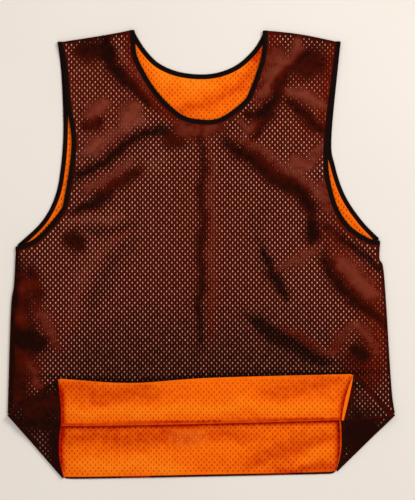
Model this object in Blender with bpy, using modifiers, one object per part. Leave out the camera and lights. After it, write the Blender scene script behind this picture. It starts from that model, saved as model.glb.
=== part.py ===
"""A reversible mesh training bib, laid flat with its hem opened out.

The tables and sizes are millimetres, and are scaled to metres once, when a mesh is made. +Y points
from the hem to the shoulders, +X to the right as seen, and z = 0 is the surface the bib lies on.

The bib is two bibs in one: black mesh outside and orange mesh inside, bound together at the neck
and the armholes. Each layer is one wall of cloth. Its middle surface is a grid: columns run along
the cloth, from the corner fold round its edge, down the folded-up hem, round the crease and up to
the shoulder, and neighbouring columns are joined wherever both have the same step.
"""

import math

import bmesh
import bpy
import numpy as np

MM = 0.001

# Cloth and its gaps
WALL = 1.0
GAP = 0.4
PITCH = WALL + GAP
SEAM_GAP = 0.3
SEAM_LIP = 0.25
BINDING_WIDTH = 7.0
BINDING_CHAMFER = 0.6

# Levels of the stack, counted in layers from the surface
BACK = {"outer": 0, "inner": 1}
FRONT = {"outer": 3, "inner": 2}
FLAP = {"outer": 4, "inner": 5}
CORNER = {"outer": 7, "inner": 6}
SETTLED = {"outer": 3, "inner": 2}

# How finely each stretch of cloth is divided
CURL_STEPS = 3
TURN_STEPS = 4
FLAP_STEPS = 3
CORNER_STEPS = 3
ROWS = {
    "front": {"side": 13, "armhole": 12, "strap": 6},
    "back": {"side": 5, "armhole": 9, "strap": 4},
}
MIDDLE_COLUMNS = 6
ARMHOLE_ROW_POWER = 1.6

# Columns between the side and the neck, as shares of that width. The first few lie in the corner fold.
CORNER_SHARES = (0.042, 0.14, 0.246, 0.351)
SIDE_SHARES = {"front": (0.44, 0.53, 0.62, 0.71, 0.80, 0.90, 1.00), "back": (0.50, 0.66, 0.83, 1.00)}

# Where the neck's two sides meet its bottom
NECK_SPLIT = {"front": 234.0, "back": 286.0}

# The edges seen from above, measured from the middle of the photographed bib. Columns: x, y
NECK = {
    "front": (
        (-103, 350), (-102, 330), (-97, 302), (-69, 254), (-32, 218), (0, 209),
        (30, 212), (64, 236), (77, 257), (94, 309), (96, 348),
    ),
    "back": (
        (-103, 350), (-101, 341), (-85, 316), (-63, 295), (-29, 282),
        (15, 280), (52, 292), (80, 316), (95, 340), (96, 348),
    ),
}
ARMHOLE_LEFT = {
    "front": (
        (-223, 329), (-215, 293), (-209, 231), (-201, 170), (-212, 88),
        (-220, 66), (-248, 33), (-267, 19), (-288, 12),
    ),
    "back": ((-223, 329), (-217, 278), (-214, 194), (-218, 134), (-227, 89), (-248, 50), (-288, 12)),
}
ARMHOLE_RIGHT = {
    "front": ((217, 329), (198, 166), (206, 92), (228, 48), (260, 25), (279, 22)),
    "back": ((217, 329), (203, 184), (208, 138), (224, 91), (250, 52), (279, 22)),
}
SIDE_LEFT = ((-301, -250), (-296, -89), (-291, -46), (-288, 12))
SIDE_RIGHT = ((302, -250), (296, -201), (285, -33), (278, -8), (279, 22))
SHOULDER_LEFT = ((-223, 329), (-165, 338), (-125, 345), (-103, 350))
SHOULDER_RIGHT = ((96, 348), (130, 345), (165, 340), (217, 329))
CREASE = ((-301, -250), (-215, -267), (217, -258), (302, -250))
HEM = {
    "front": ((-223, -193), (-110, -200), (15, -192), (238, -186)),
    "back": ((-215, -349), (-156, -349), (190, -342), (212, -338)),
}

# The part's origin, at the centre of the finished outline
ORIGIN = (0.37, -0.55, 0.0)

# y at which the sides end and the armholes begin, left and right
PIT = (4.5, 13.5)

# How far the hem edges stand back, so that the layer beyond shows
HEM_BACK = {"front": {"outer": 1.0, "inner": 0.0}, "back": {"outer": 0.0, "inner": 2.6}}
# How far the corner folds' hem edges stand back, and how they bow sideways. Columns: left, right
CORNER_BACK = {"outer": (2.0, 3.6), "inner": (0.6, 0.6)}
CORNER_BOW = {"front": (2.6, 0.0), "back": (-4.6, 3.6)}
# How far a corner fold's tip is inside the outline, how far its two halves are from the seam there, and
# the heights of the cloth at the tip, from the top down
TIP_IN = 1.0
TIP_APART = 0.9
TIP_Z = {"front": (6.6,), "back": (6.8, 0.5)}
# The stretch over which a corner fold comes down from the crease onto the back
CORNER_DROP = 30.0

# Height by which the front stands up away from its edges
FRONT_PUFF = 1.5
# Largest folds of the front, ridges first.
# Columns: x and y of one end, x and y of the other, height, half width
FRONT_FOLDS = (
    (-132, 310, -78, 244, 3.6, 14),
    (-84, 230, -131, 196, 3.4, 16),
    (-185, 152, -86, 215, 4.6, 15),
    (-179, 101, -110, 142, 4.0, 14),
    (146, 310, 96, 256, 4.8, 14),
    (126, 257, 187, 233, 3.4, 15),
    (64, 177, 177, 98, 5.0, 14),
    (148, 149, 163, 128, 2.2, 18),
    (200, 36, 240, -24, 4.6, 18),
    (236, -22, 272, -59, 4.6, 18),
    (169, 2, 132, -28, 2.8, 15),
    (123, -114, 197, -157, 3.4, 14),
    (201, -152, 233, -107, 3.2, 14),
    (241, -109, 273, -149, 3.0, 14),
    (-258, -80, -224, -142, 4.2, 15),
    (-282, -55, -253, -47, 2.6, 16),
    (-281, -150, -251, -200, 3.2, 14),
    (-38, 196, 30, 195, 1.8, 15),
    (16, 150, 16, -110, 1.2, 14),
    (-191, 317, -150, 311, -1.5, 17),
    (-188, 122, -74, 190, -1.5, 12),
    (-192, 69, -105, 124, -1.5, 13),
    (54, 166, 160, 94, -1.5, 14),
    (160, 94, 171, 50, -1.5, 14),
    (196, -10, 270, -98, -1.5, 13),
    (84, -106, 182, -162, -1.5, 12),
)
FOLD_FADE = 28.0
FOLD_LOWEST_Y = -176.0

# Sizes worked out from those above
REACH = BINDING_WIDTH + SEAM_GAP
HALF_STACK = 1.5 * PITCH
EDGE_ROOM = WALL / 2 + HALF_STACK
MIDDLE_Z = WALL / 2 + HALF_STACK

# Colours, roughness and metallic of the two meshes and the binding
FINISHES = {
    "black_mesh": ((0.020, 0.013, 0.011, 1.0), 0.85, 0.0),
    "orange_mesh": ((0.86, 0.13, 0.008, 1.0), 0.80, 0.0),
    "black_binding": ((0.010, 0.008, 0.008, 1.0), 0.75, 0.0),
}


def smooth(points, steps=12):
    """A Catmull-Rom curve through the points, as an array of x, y."""
    p = np.array(points, float)
    p = np.vstack([2 * p[0] - p[1], p, 2 * p[-1] - p[-2]])
    t = np.linspace(0, 1, steps, endpoint=False)[:, None]
    spans = []
    for a, b, c, d in zip(p[:-3], p[1:-2], p[2:-1], p[3:]):
        bend = 2 * a - 5 * b + 4 * c - d
        spans.append(0.5 * (2 * b + (c - a) * t + bend * t**2 + (3 * b - a - 3 * c + d) * t**3))
    return np.vstack(spans + [p[-2:-1]])


def moved_aside(curve, distance):
    """The curve moved to the left of its own direction by distance."""
    along = np.gradient(curve, axis=0)
    along /= np.linalg.norm(along, axis=1)[:, None]
    return curve + distance * np.column_stack([-along[:, 1], along[:, 0]])


def x_at(curve, y):
    """x of a curve at height y, where y only rises or only falls along it."""
    order = np.argsort(curve[:, 1])
    return np.interp(y, curve[order, 1], curve[order, 0])


def y_at(curve, x):
    """y of a curve at place x, where x only rises or only falls along it."""
    order = np.argsort(curve[:, 0])
    return np.interp(x, curve[order, 0], curve[order, 1])


def eased(t):
    """0 to 1 with a soft start and a soft end."""
    t = np.clip(t, 0.0, 1.0)
    return t * t * (3 - 2 * t)


def level_z(level):
    """Height of the middle of a layer."""
    return WALL / 2 + PITCH * level


def fold_height(x, y, clear):
    """Height of the front's folds, soft ridges and troughs that fade at their ends and at the edges."""
    height = FRONT_PUFF
    for x0, y0, x1, y1, rise, half_width in FRONT_FOLDS:
        length = math.hypot(x1 - x0, y1 - y0)
        ux, uy = (x1 - x0) / length, (y1 - y0) / length
        along = ((x - x0) * ux + (y - y0) * uy) / length
        off = (x - x0) * uy - (y - y0) * ux
        ends = eased((along + 0.25) / 0.4) * eased((1.25 - along) / 0.4)
        height += rise * ends * math.exp(-((off / half_width) ** 2))
    return max(height, 0.0) * eased(clear / FOLD_FADE)


def turn(centre, outward, high, low):
    """The points between the two ends of a fold: a half circle from height high down to low."""
    radius = (high - low) / 2
    points = []
    for k in range(1, TURN_STEPS):
        angle = math.pi / 2 - math.pi * k / TURN_STEPS
        x, y = np.array(centre) + np.array(outward) * radius * math.cos(angle)
        points.append((x, y, (low + high) / 2 + radius * math.sin(angle)))
    return points


class Panel:
    """The shape of the front or the back as seen from above, divided into rows of columns."""

    def __init__(self, side):
        self.side = side
        self.neck = moved_aside(smooth(NECK[side]), -REACH)
        self.arm = (
            moved_aside(smooth(ARMHOLE_LEFT[side]), REACH),
            moved_aside(smooth(ARMHOLE_RIGHT[side]), -REACH),
        )
        self.edge = (smooth(SIDE_LEFT), smooth(SIDE_RIGHT))
        self.shoulder = (smooth(SHOULDER_LEFT), smooth(SHOULDER_RIGHT))
        self.crease = smooth(CREASE)
        self.hem = smooth(HEM[side])
        lowest = self.neck[:, 1].argmin()
        self.neck_side = (self.neck[: lowest + 1], self.neck[lowest:])
        self.split_y = NECK_SPLIT[side]
        self.split_x = [x_at(part, self.split_y) for part in self.neck_side]
        self.shares = np.array((0.0,) + CORNER_SHARES + SIDE_SHARES[side])
        self.columns = 2 * len(self.shares) + MIDDLE_COLUMNS - 1
        self.rows = self.side_rows()
        self.pit_row = len(self.rows) - 1
        self.rows += self.armhole_rows()
        self.neck_row = len(self.rows) - 1
        self.rows += self.strap_rows()
        self.outline = np.vstack([self.neck, *self.arm, *self.edge, *self.shoulder])

    def across(self, x_left, split_left, split_right, x_right):
        """x of every column of a row, from its four main places."""
        left = x_left + (split_left - x_left) * self.shares
        right = x_right + (split_right - x_right) * self.shares[::-1]
        middle = np.linspace(split_left, split_right, MIDDLE_COLUMNS + 1)[1:-1]
        return np.concatenate([left, middle, right])

    def side_rows(self):
        """Rows from the crease to the armpits."""
        rows, low = [], CREASE[0][1] + EDGE_ROOM
        steps = ROWS[self.side]["side"]
        for t in np.arange(steps + 1) / steps:
            y_left, y_right = low + t * (PIT[0] - low), low + t * (PIT[1] - low)
            x_left = x_at(self.edge[0], y_left) + EDGE_ROOM
            x_right = x_at(self.edge[1], y_right) - EDGE_ROOM
            x = self.across(x_left, *self.split_x, x_right)
            start = y_at(self.crease, x) + EDGE_ROOM
            end = np.interp(x, [x[0], x[-1]], PIT)
            rows.append(np.column_stack([x, start + t * (end - start)]))
        return rows

    def armhole_rows(self):
        """Rows from the armpits to the place where the neck's sides begin."""
        rows, start = [], self.rows[-1]
        x_first = start[:, 0]
        inside = (x_first > self.split_x[0] - 0.01) & (x_first < self.split_x[1] + 0.01)
        bottom = self.neck[self.neck[:, 1] < self.split_y + 5]
        top = np.where(inside, y_at(bottom, x_first), self.split_y)
        steps = ROWS[self.side]["armhole"]
        for t in (np.arange(1, steps + 1) / steps) ** ARMHOLE_ROW_POWER:
            y = start[:, 1] + t * (top - start[:, 1])
            x = self.across(x_at(self.arm[0], y[0]), *self.split_x, x_at(self.arm[1], y[-1]))
            rows.append(np.column_stack([x, y]))
        return rows

    def strap_rows(self):
        """Rows of the two straps, up to the turn at the shoulder."""
        rows, half = [], len(self.shares)
        steps = ROWS[self.side]["strap"]
        for g in np.arange(1, steps + 1) / steps:
            places = []
            for hand, sign in ((0, -1), (1, 1)):
                shoulder = (SHOULDER_LEFT, SHOULDER_RIGHT)[hand][:: -sign]
                outer_x, outer_y = shoulder[0]
                inner_x, inner_y = shoulder[-1]
                if g < 1:
                    y_arm = self.split_y + g * (outer_y - EDGE_ROOM - self.split_y)
                    y_neck = self.split_y + g * (inner_y - EDGE_ROOM - self.split_y)
                    places.append((x_at(self.arm[hand], y_arm), x_at(self.neck_side[hand], y_neck)))
                else:
                    places.append((outer_x - sign * REACH, inner_x + sign * REACH))
            x = self.across(places[0][0], places[0][1], places[1][1], places[1][0])
            left_half = np.arange(len(x)) < half
            top = np.where(left_half, y_at(self.shoulder[0], x), y_at(self.shoulder[1], x))
            rows.append(np.column_stack([x, self.split_y + g * (top - EDGE_ROOM - self.split_y)]))
        return rows

    def has_row(self, column, row):
        """Whether this column has cloth in this row. The middle columns end at the neck."""
        return row <= self.neck_row or not len(self.shares) <= column < self.columns - len(self.shares)

    def neck_edge(self):
        """The cloth's edge round the neck, from the left shoulder to the right one."""
        left, right = len(self.shares) - 1, self.columns - len(self.shares)
        straps = range(self.neck_row + 1, len(self.rows))
        points = [self.rows[r][left] for r in reversed(straps)]
        points += [self.rows[self.neck_row][c] for c in range(left, right + 1)]
        return np.array(points + [self.rows[r][right] for r in straps])

    def armhole_edge(self, hand):
        """The cloth's edge round an armhole, from the shoulder to the armpit."""
        column = 0 if hand == 0 else self.columns - 1
        return np.array([self.rows[r][column] for r in range(len(self.rows) - 1, self.pit_row - 1, -1)])


class Layer:
    """One layer of cloth of a panel: its columns, as points keyed by the steps along them."""

    def __init__(self, panel, kind):
        self.panel, self.kind, self.side = panel, kind, panel.side
        self.body = level_z((FRONT if self.side == "front" else BACK)[kind])
        self.lift = self.side == "front"
        last = panel.columns - 1
        self.corner_columns = {c: c for c in range(1, len(CORNER_SHARES) + 1)}
        self.corner_columns.update({last - c: c for c in range(1, len(CORNER_SHARES) + 1)})
        self.hem_ends = [None, None]
        self.paths = {}
        corners = {c: self.corner_path(c) for c in self.corner_columns}
        for column in range(panel.columns):
            path = self.body_path(column)
            if column in corners:
                path.update(corners[column])
            elif 0 < column < last:
                path.update(self.hem_path(column))
            if column not in (0, last) and self.side == "front":
                path.update(self.crease_turn(column))
            self.paths[column] = path
        self.paths[-1] = self.side_curl(0, -1)
        self.paths[panel.columns] = self.side_curl(last, 1)
        self.points, self.faces = self.joined()

    def clearance(self, x, y):
        """How far a place is from the panel's edges and from the folded-up hem."""
        near = np.hypot(self.panel.outline[:, 0] - x, self.panel.outline[:, 1] - y).min()
        return min(near, y - FOLD_LOWEST_Y)

    def body_path(self, column):
        """The column's flat part, and its turn at the shoulder."""
        path = {}
        rows = self.panel.rows
        for row, line in enumerate(rows):
            if self.panel.has_row(column, row):
                x, y = line[column]
                rise = fold_height(x, y, self.clearance(x, y)) if self.lift else 0.0
                path["body", row] = (x, y, self.body + rise)
        if self.panel.has_row(column, len(rows) - 1):
            x, y = rows[-1][column]
            for step, (out, z) in enumerate(self.curl()):
                path["shoulder", step] = (x, y + out, z)
        return path

    def curl(self):
        """The quarter turn by which an outer layer meets its other half: distances outward and heights.

        The inner layers end flat inside it.
        """
        if self.kind == "inner":
            return []
        radius = abs(self.body - MIDDLE_Z)
        sign = 1 if self.body > MIDDLE_Z else -1
        angles = [math.pi / 2 * (1 - k / (CURL_STEPS - 1)) for k in range(1, CURL_STEPS - 1)]
        places = [(radius * math.cos(a), radius * math.sin(a)) for a in angles]
        places += [(radius, SEAM_GAP / 2 + SEAM_LIP), (radius, SEAM_GAP / 2)]
        return [(out, MIDDLE_Z + sign * rise) for out, rise in places]

    def side_curl(self, column, sign):
        """The side's quarter turn, kept as one column for each of its steps."""
        path = {}
        for row in range(self.panel.pit_row + 1):
            x, y = self.panel.rows[row][column]
            for step, (out, z) in enumerate(self.curl()):
                path["curl", row, step] = (x + sign * out, y, z)
        return path

    def crease_xy(self, column):
        """Where the column meets the start of the body."""
        return self.panel.rows[0][column]

    def crease_turn(self, column):
        """The front's turn at the crease, from the folded-up hem down to the body."""
        points = turn(self.crease_xy(column), (0, -1), level_z(FLAP[self.kind]), self.body)
        return {("crease", k): p for k, p in enumerate(points)}

    def corner_path(self, column):
        """The plate of the corner fold, its turn, and the cloth beneath it down to the crease."""
        panel, kind = self.panel, self.kind
        hand = 0 if column < panel.columns / 2 else 1
        sign = -1 if hand == 0 else 1
        tip = np.array(CREASE[0 if hand == 0 else -1], float)
        hem = np.array(HEM[self.side][0 if hand == 0 else -1], float)
        share = CORNER_SHARES[self.corner_columns[column] - 1] / CORNER_SHARES[-1]
        edge = tip + share * (hem - tip)
        x, y = self.crease_xy(column)
        up = 1 if self.side == "front" else -1
        outward = np.array([-(hem - tip)[1], (hem - tip)[0]]) / np.linalg.norm(hem - tip)
        outward *= up * np.sign(outward[1])
        seam = np.array([x, y - EDGE_ROOM + up * SEAM_GAP / 2])
        top = level_z(CORNER[kind])
        if self.side == "front":
            turn_at, high, low = edge - outward * EDGE_ROOM, top, level_z(FLAP[kind])
        else:
            drop = eased((seam[1] - edge[1] - 5) / CORNER_DROP)
            outer = level_z(CORNER["outer"] + drop * (SETTLED["outer"] - CORNER["outer"]))
            turn_at = edge - outward * ((outer - level_z(BACK["outer"])) / 2 + WALL / 2)
            high, low = outer - (0 if kind == "outer" else PITCH), self.body
        path = {}
        length = np.linalg.norm(turn_at - seam)
        fall = max(eased(length / CORNER_DROP), 0.01)
        for step in range(CORNER_STEPS + 1):
            t = step / CORNER_STEPS
            px, py = seam + t * (turn_at - seam)
            back = sign * CORNER_BACK[kind][hand] * (1 - t**4)
            px += share * (CORNER_BOW[self.side][hand] * math.sin(math.pi * t) + back)
            z = top + (high - top) * eased(t * length / CORNER_DROP) / fall
            path["plate", step] = (px, py, z)
        for step, point in enumerate(turn(turn_at, outward, high, low)):
            path["fold", step] = point
        steps = FLAP_STEPS if self.side == "front" else FLAP_STEPS - 1
        for step in range(steps + 1):
            px, py = turn_at + (np.array([x, y]) - turn_at) * step / FLAP_STEPS
            path["flap", step] = (px, py, low)
        if share == 1.0:
            self.hem_ends[hand] = turn_at
        return path

    def hem_path(self, column):
        """The hem between the corner folds: up from the crease on the front, down on the back."""
        panel, up = self.panel, 1 if self.side == "front" else -1
        first, last = len(CORNER_SHARES), panel.columns - 1 - len(CORNER_SHARES)
        x, y = self.crease_xy(column)
        ends = [self.crease_xy(first)[0], self.crease_xy(last)[0]]
        hem_x = np.interp(x, ends, [self.hem_ends[0][0], self.hem_ends[1][0]])
        hem_y = y_at(panel.hem, hem_x) - up * HEM_BACK[self.side][self.kind]
        level = level_z(FLAP[self.kind]) if self.side == "front" else self.body
        steps = FLAP_STEPS if self.side == "front" else FLAP_STEPS - 1
        start, end = np.array([hem_x, hem_y]), np.array([x, y])
        path = {}
        for step in range(steps + 1):
            px, py = start + (end - start) * step / FLAP_STEPS
            path["flap", step] = (px, py, level)
        return path

    def joined(self):
        """Points and faces: neighbouring columns are joined between two steps that both have."""
        order = [("plate", k) for k in range(CORNER_STEPS + 1)]
        order += [("fold", k) for k in range(TURN_STEPS - 1)]
        order += [("flap", k) for k in range(FLAP_STEPS + (self.side == "front"))]
        order += [("crease", k) for k in range(TURN_STEPS - 1)] if self.side == "front" else []
        order += [("body", k) for k in range(len(self.panel.rows))]
        order += [("shoulder", k) for k in range(CURL_STEPS)]
        points, index, faces = [], {}, []
        for column, path in self.paths.items():
            for label, point in path.items():
                index[column, label] = len(points)
                points.append(point)
        for a in range(self.panel.columns - 1):
            for low, high in zip(order, order[1:]):
                corners = [(a, low), (a + 1, low), (a + 1, high), (a, high)]
                if all(c in index for c in corners):
                    faces.append([index[c] for c in corners])
        last = self.panel.columns - 1
        for column, curl in ((0, -1), (last, last + 1)):
            for row in range(self.panel.pit_row):
                for step in range(len(self.curl())):
                    start = (column, ("body", row)), (column, ("body", row + 1))
                    if step:
                        start = (curl, ("curl", row, step - 1)), (curl, ("curl", row + 1, step - 1))
                    end = (curl, ("curl", row, step)), (curl, ("curl", row + 1, step))
                    quad = [end[0], start[0], start[1], end[1]]
                    faces.append([index[c] for c in (quad if column == 0 else quad[::-1])])
        if self.kind == "outer":
            self.close_tip(points, faces, index, 1, 0, 0)
            self.close_tip(points, faces, index, last - 1, last, 1)
        return points, faces

    def close_tip(self, points, faces, index, column, beside, hand):
        """Carries the corner fold's cloth on from its first column to the tip beside the side seam."""
        top = [("plate", k) for k in range(CORNER_STEPS + 1)] + [("fold", k) for k in range(TURN_STEPS - 1)]
        top = top[: -(TURN_STEPS // 2) + 1]
        fans = [[index[column, label] for label in top]]
        if self.side == "back":
            low = [("fold", k) for k in range(TURN_STEPS // 2 - 1, TURN_STEPS - 1)]
            low += [("flap", k) for k in range(FLAP_STEPS)] + [("body", 0)]
            fans.append([index[column, label] for label in low] + [index[beside, ("body", 0)]])
        x, y = CREASE[0 if hand == 0 else -1]
        x += TIP_IN if hand == 0 else -TIP_IN
        y += TIP_APART if self.side == "front" else -TIP_APART
        for rim, z in zip(fans, TIP_Z[self.side]):
            points.append((x, y, z))
            faces += [[len(points) - 1, a, b] for a, b in zip(rim, rim[1:])]
        if self.side == "back":
            faces.append([len(points) - 2, fans[0][-1], len(points) - 1])


def material(name):
    """A plain Principled material in one of the named finishes."""
    colour, roughness, metallic = FINISHES[name]
    made = bpy.data.materials.new(name)
    made.use_nodes = True
    shader = made.node_tree.nodes["Principled BSDF"]
    shader.inputs["Base Color"].default_value = colour
    shader.inputs["Roughness"].default_value = roughness
    shader.inputs["Metallic"].default_value = metallic
    return made


def solid(name, points, faces, finish, collection, wall=None):
    """A mesh object from points in millimetres, thickened to a wall if one is given."""
    mesh = bpy.data.meshes.new(name)
    mesh.from_pydata([tuple(MM * (v - o) for v, o in zip(point, ORIGIN)) for point in points], [], faces)
    mesh.materials.append(finish)
    cleaned = bmesh.new()
    cleaned.from_mesh(mesh)
    bmesh.ops.remove_doubles(cleaned, verts=cleaned.verts, dist=0.00001)
    bmesh.ops.recalc_face_normals(cleaned, faces=cleaned.faces)
    cleaned.to_mesh(mesh)
    cleaned.free()
    made = bpy.data.objects.new(name, mesh)
    collection.objects.link(made)
    if wall:
        thicken = made.modifiers.new("wall", "SOLIDIFY")
        thicken.thickness = wall * MM
        thicken.offset = 0.0
    return made


def edge_rings(edge, open_side, first, last):
    """Inner and outer places of a binding beside a cloth edge, with its mitres and its end directions."""
    along = np.diff(edge, axis=0)
    along /= np.linalg.norm(along, axis=1)[:, None]
    normals = open_side * np.column_stack([-along[:, 1], along[:, 0]])
    mitres = [np.array(first) / np.dot(first, normals[0])]
    for a, b in zip(normals, normals[1:]):
        both = (a + b) / np.linalg.norm(a + b)
        mitres.append(both / np.dot(both, a))
    mitres.append(np.array(last) / np.dot(last, normals[-1]))
    mitres = np.array(mitres)
    return edge + SEAM_GAP * mitres, edge + REACH * mitres


def binding_loop(front, back, ends):
    """Cross-section frames of a binding: along the front edge, round its end, back along the other."""
    radius = PITCH
    frames = []

    def flat(rings, z, up):
        for a, b in zip(*rings):
            frames.append(((*a, z), (*b, z), (0.0, 0.0, up)))

    def over(here, there, outward, start_up):
        for k in range(1, TURN_STEPS):
            angle = math.pi * k / TURN_STEPS
            share = k / TURN_STEPS
            push = np.array(outward) * radius * math.sin(angle)
            a = here[0] + (there[0] - here[0]) * share + push
            b = here[1] + (there[1] - here[1]) * share + push
            z = MIDDLE_Z + start_up * radius * math.cos(angle)
            normal = (*(np.array(outward) * math.sin(angle)), start_up * math.cos(angle))
            frames.append(((*a, z), (*b, z), normal))

    back = (back[0][::-1], back[1][::-1])
    flat(front, MIDDLE_Z + radius, 1.0)
    over((front[0][-1], front[1][-1]), (back[0][0], back[1][0]), ends[1], 1.0)
    flat(back, MIDDLE_Z - radius, -1.0)
    over((back[0][-1], back[1][-1]), (front[0][0], front[1][0]), ends[0], -1.0)
    return frames


def binding_mesh(frames):
    """Points and faces of a closed band with a chamfered section."""
    half, cut = (2 * WALL + GAP) / 2, BINDING_CHAMFER
    points, faces, n = [], [], len(frames)
    for a, b, normal in frames:
        a, b, normal = np.array(a), np.array(b), np.array(normal)
        across = (b - a) / np.linalg.norm(b - a)
        for place, inset, height in (
            (a, 0, cut - half), (a, cut, -half), (b, -cut, -half), (b, 0, cut - half),
            (b, 0, half - cut), (b, -cut, half), (a, cut, half), (a, 0, half - cut),
        ):
            points.append(place + across * inset + normal * height)
    for ring in range(n):
        here, there = 8 * ring, 8 * ((ring + 1) % n)
        for k in range(8):
            faces.append([here + k, here + (k + 1) % 8, there + (k + 1) % 8, there + k])
    return points, faces


def main():
    """Builds the bib: four layers of cloth and three bindings."""
    for old in list(bpy.data.objects):
        bpy.data.objects.remove(old, do_unlink=True)
    bib = bpy.data.collections.new("mesh_training_bib")
    bpy.context.scene.collection.children.link(bib)
    finishes = {name: material(name) for name in FINISHES}
    panels = {side: Panel(side) for side in ("front", "back")}
    for side, panel in panels.items():
        for kind, finish in (("outer", "black_mesh"), ("inner", "orange_mesh")):
            layer = Layer(panel, kind)
            solid(f"{side}_{kind}", layer.points, layer.faces, finishes[finish], bib, WALL)
    both = panels.values()
    left_rings = [edge_rings(panel.armhole_edge(0), -1, (-1, 0), (0, 1)) for panel in both]
    right_rings = [edge_rings(panel.armhole_edge(1), 1, (1, 0), (0, 1)) for panel in both]
    loops = {
        "neck_binding": ([edge_rings(p.neck_edge(), 1, (1, 0), (-1, 0)) for p in both], ((0, 1), (0, 1))),
        "armhole_binding_left": (left_rings, ((0, 1), (-1, 0))),
        "armhole_binding_right": (right_rings, ((0, 1), (1, 0))),
    }
    for name, (rings, ends) in loops.items():
        frames = binding_loop(*rings, ends)
        points, faces = binding_mesh(frames)
        solid(name, points, faces, finishes["black_binding"], bib)


main()
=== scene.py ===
"""A reversible mesh training bib on a pale table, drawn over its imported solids.

The bib is black mesh outside and orange mesh inside. It lies on its back with its hem opened out:
the front hem is folded up, the back's inside shows below it, and a corner is squashed flat at each
side. All sizes are millimetres in the drawing's own frame, whose origin is near the middle of the
bib, until a mesh is made.
"""

import logging
import math
from collections.abc import Callable
from dataclasses import dataclass, field
from enum import Enum

import bmesh
import bpy
import numpy as np
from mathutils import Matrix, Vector
from mathutils.geometry import delaunay_2d_cdt

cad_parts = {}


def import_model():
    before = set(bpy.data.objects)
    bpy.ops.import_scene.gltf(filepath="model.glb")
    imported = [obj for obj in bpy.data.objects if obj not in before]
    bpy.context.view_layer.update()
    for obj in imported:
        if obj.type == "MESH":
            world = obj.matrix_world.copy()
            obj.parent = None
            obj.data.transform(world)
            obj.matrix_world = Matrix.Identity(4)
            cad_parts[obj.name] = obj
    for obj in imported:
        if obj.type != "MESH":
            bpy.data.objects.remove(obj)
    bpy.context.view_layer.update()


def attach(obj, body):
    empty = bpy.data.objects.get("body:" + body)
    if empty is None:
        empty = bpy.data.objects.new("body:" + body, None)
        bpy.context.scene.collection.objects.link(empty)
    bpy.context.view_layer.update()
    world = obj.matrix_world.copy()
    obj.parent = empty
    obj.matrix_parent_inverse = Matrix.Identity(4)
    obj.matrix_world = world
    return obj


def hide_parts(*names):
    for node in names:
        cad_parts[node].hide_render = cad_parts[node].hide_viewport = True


LOG = logging.getLogger("bib")
MM = 0.001
# left and right: a place in tables of two, and the sign of x outward
HANDS = ((0, -1), (1, 1))
Points = np.ndarray
Values = np.ndarray
Field = Callable[[Points], Values]


class Side(Enum):
    """The front or the back of the bib."""

    FRONT = "front"
    BACK = "back"


class Cloth(Enum):
    """Which of the two bibs a layer belongs to."""

    OUTER = "outer"
    INNER = "inner"


@dataclass(frozen=True)
class Stack:
    """Heights of the layers, and the bindings' size.

    Args:
        wall: thickness of one layer of the solids.
        pitch: distance from one layer to the next.
        binding: width of a binding.
        seam_gap: gap between pieces that are sewn together.
        nestle: how far two layers that touch move towards each other inside their solids.
    """

    wall: float = 1.0
    pitch: float = 1.4
    binding: float = 7.0
    seam_gap: float = 0.3
    nestle: float = 0.42

    @property
    def reach(self) -> float:
        """Width from a cloth edge to the far side of its binding."""
        return self.binding + self.seam_gap

    @property
    def edge_room(self) -> float:
        """Distance from the outline to the start of a turned edge."""
        return self.wall / 2 + 1.5 * self.pitch

    @property
    def middle(self) -> float:
        """Height halfway between front and back."""
        return self.edge_room

    def level(self, count: int) -> float:
        """Height of a layer's middle, counted from the table."""
        return self.wall / 2 + self.pitch * count


@dataclass(frozen=True)
class Levels:
    """The numbers, counted from the table, at which the stretches of a layer lie.

    Args:
        body: the flat body.
        flap: the hem between the corner folds.
        corner: the corner folds, at the crease.
        settled: the corner folds of the back, where they have come down onto it.
    """

    body: int
    flap: int
    corner: int
    settled: int


STACK = Stack()
LEVELS = {
    (Side.FRONT, Cloth.OUTER): Levels(3, 4, 7, 7),
    (Side.FRONT, Cloth.INNER): Levels(2, 5, 6, 6),
    (Side.BACK, Cloth.OUTER): Levels(0, 0, 7, 3),
    (Side.BACK, Cloth.INNER): Levels(1, 1, 6, 2),
}


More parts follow.
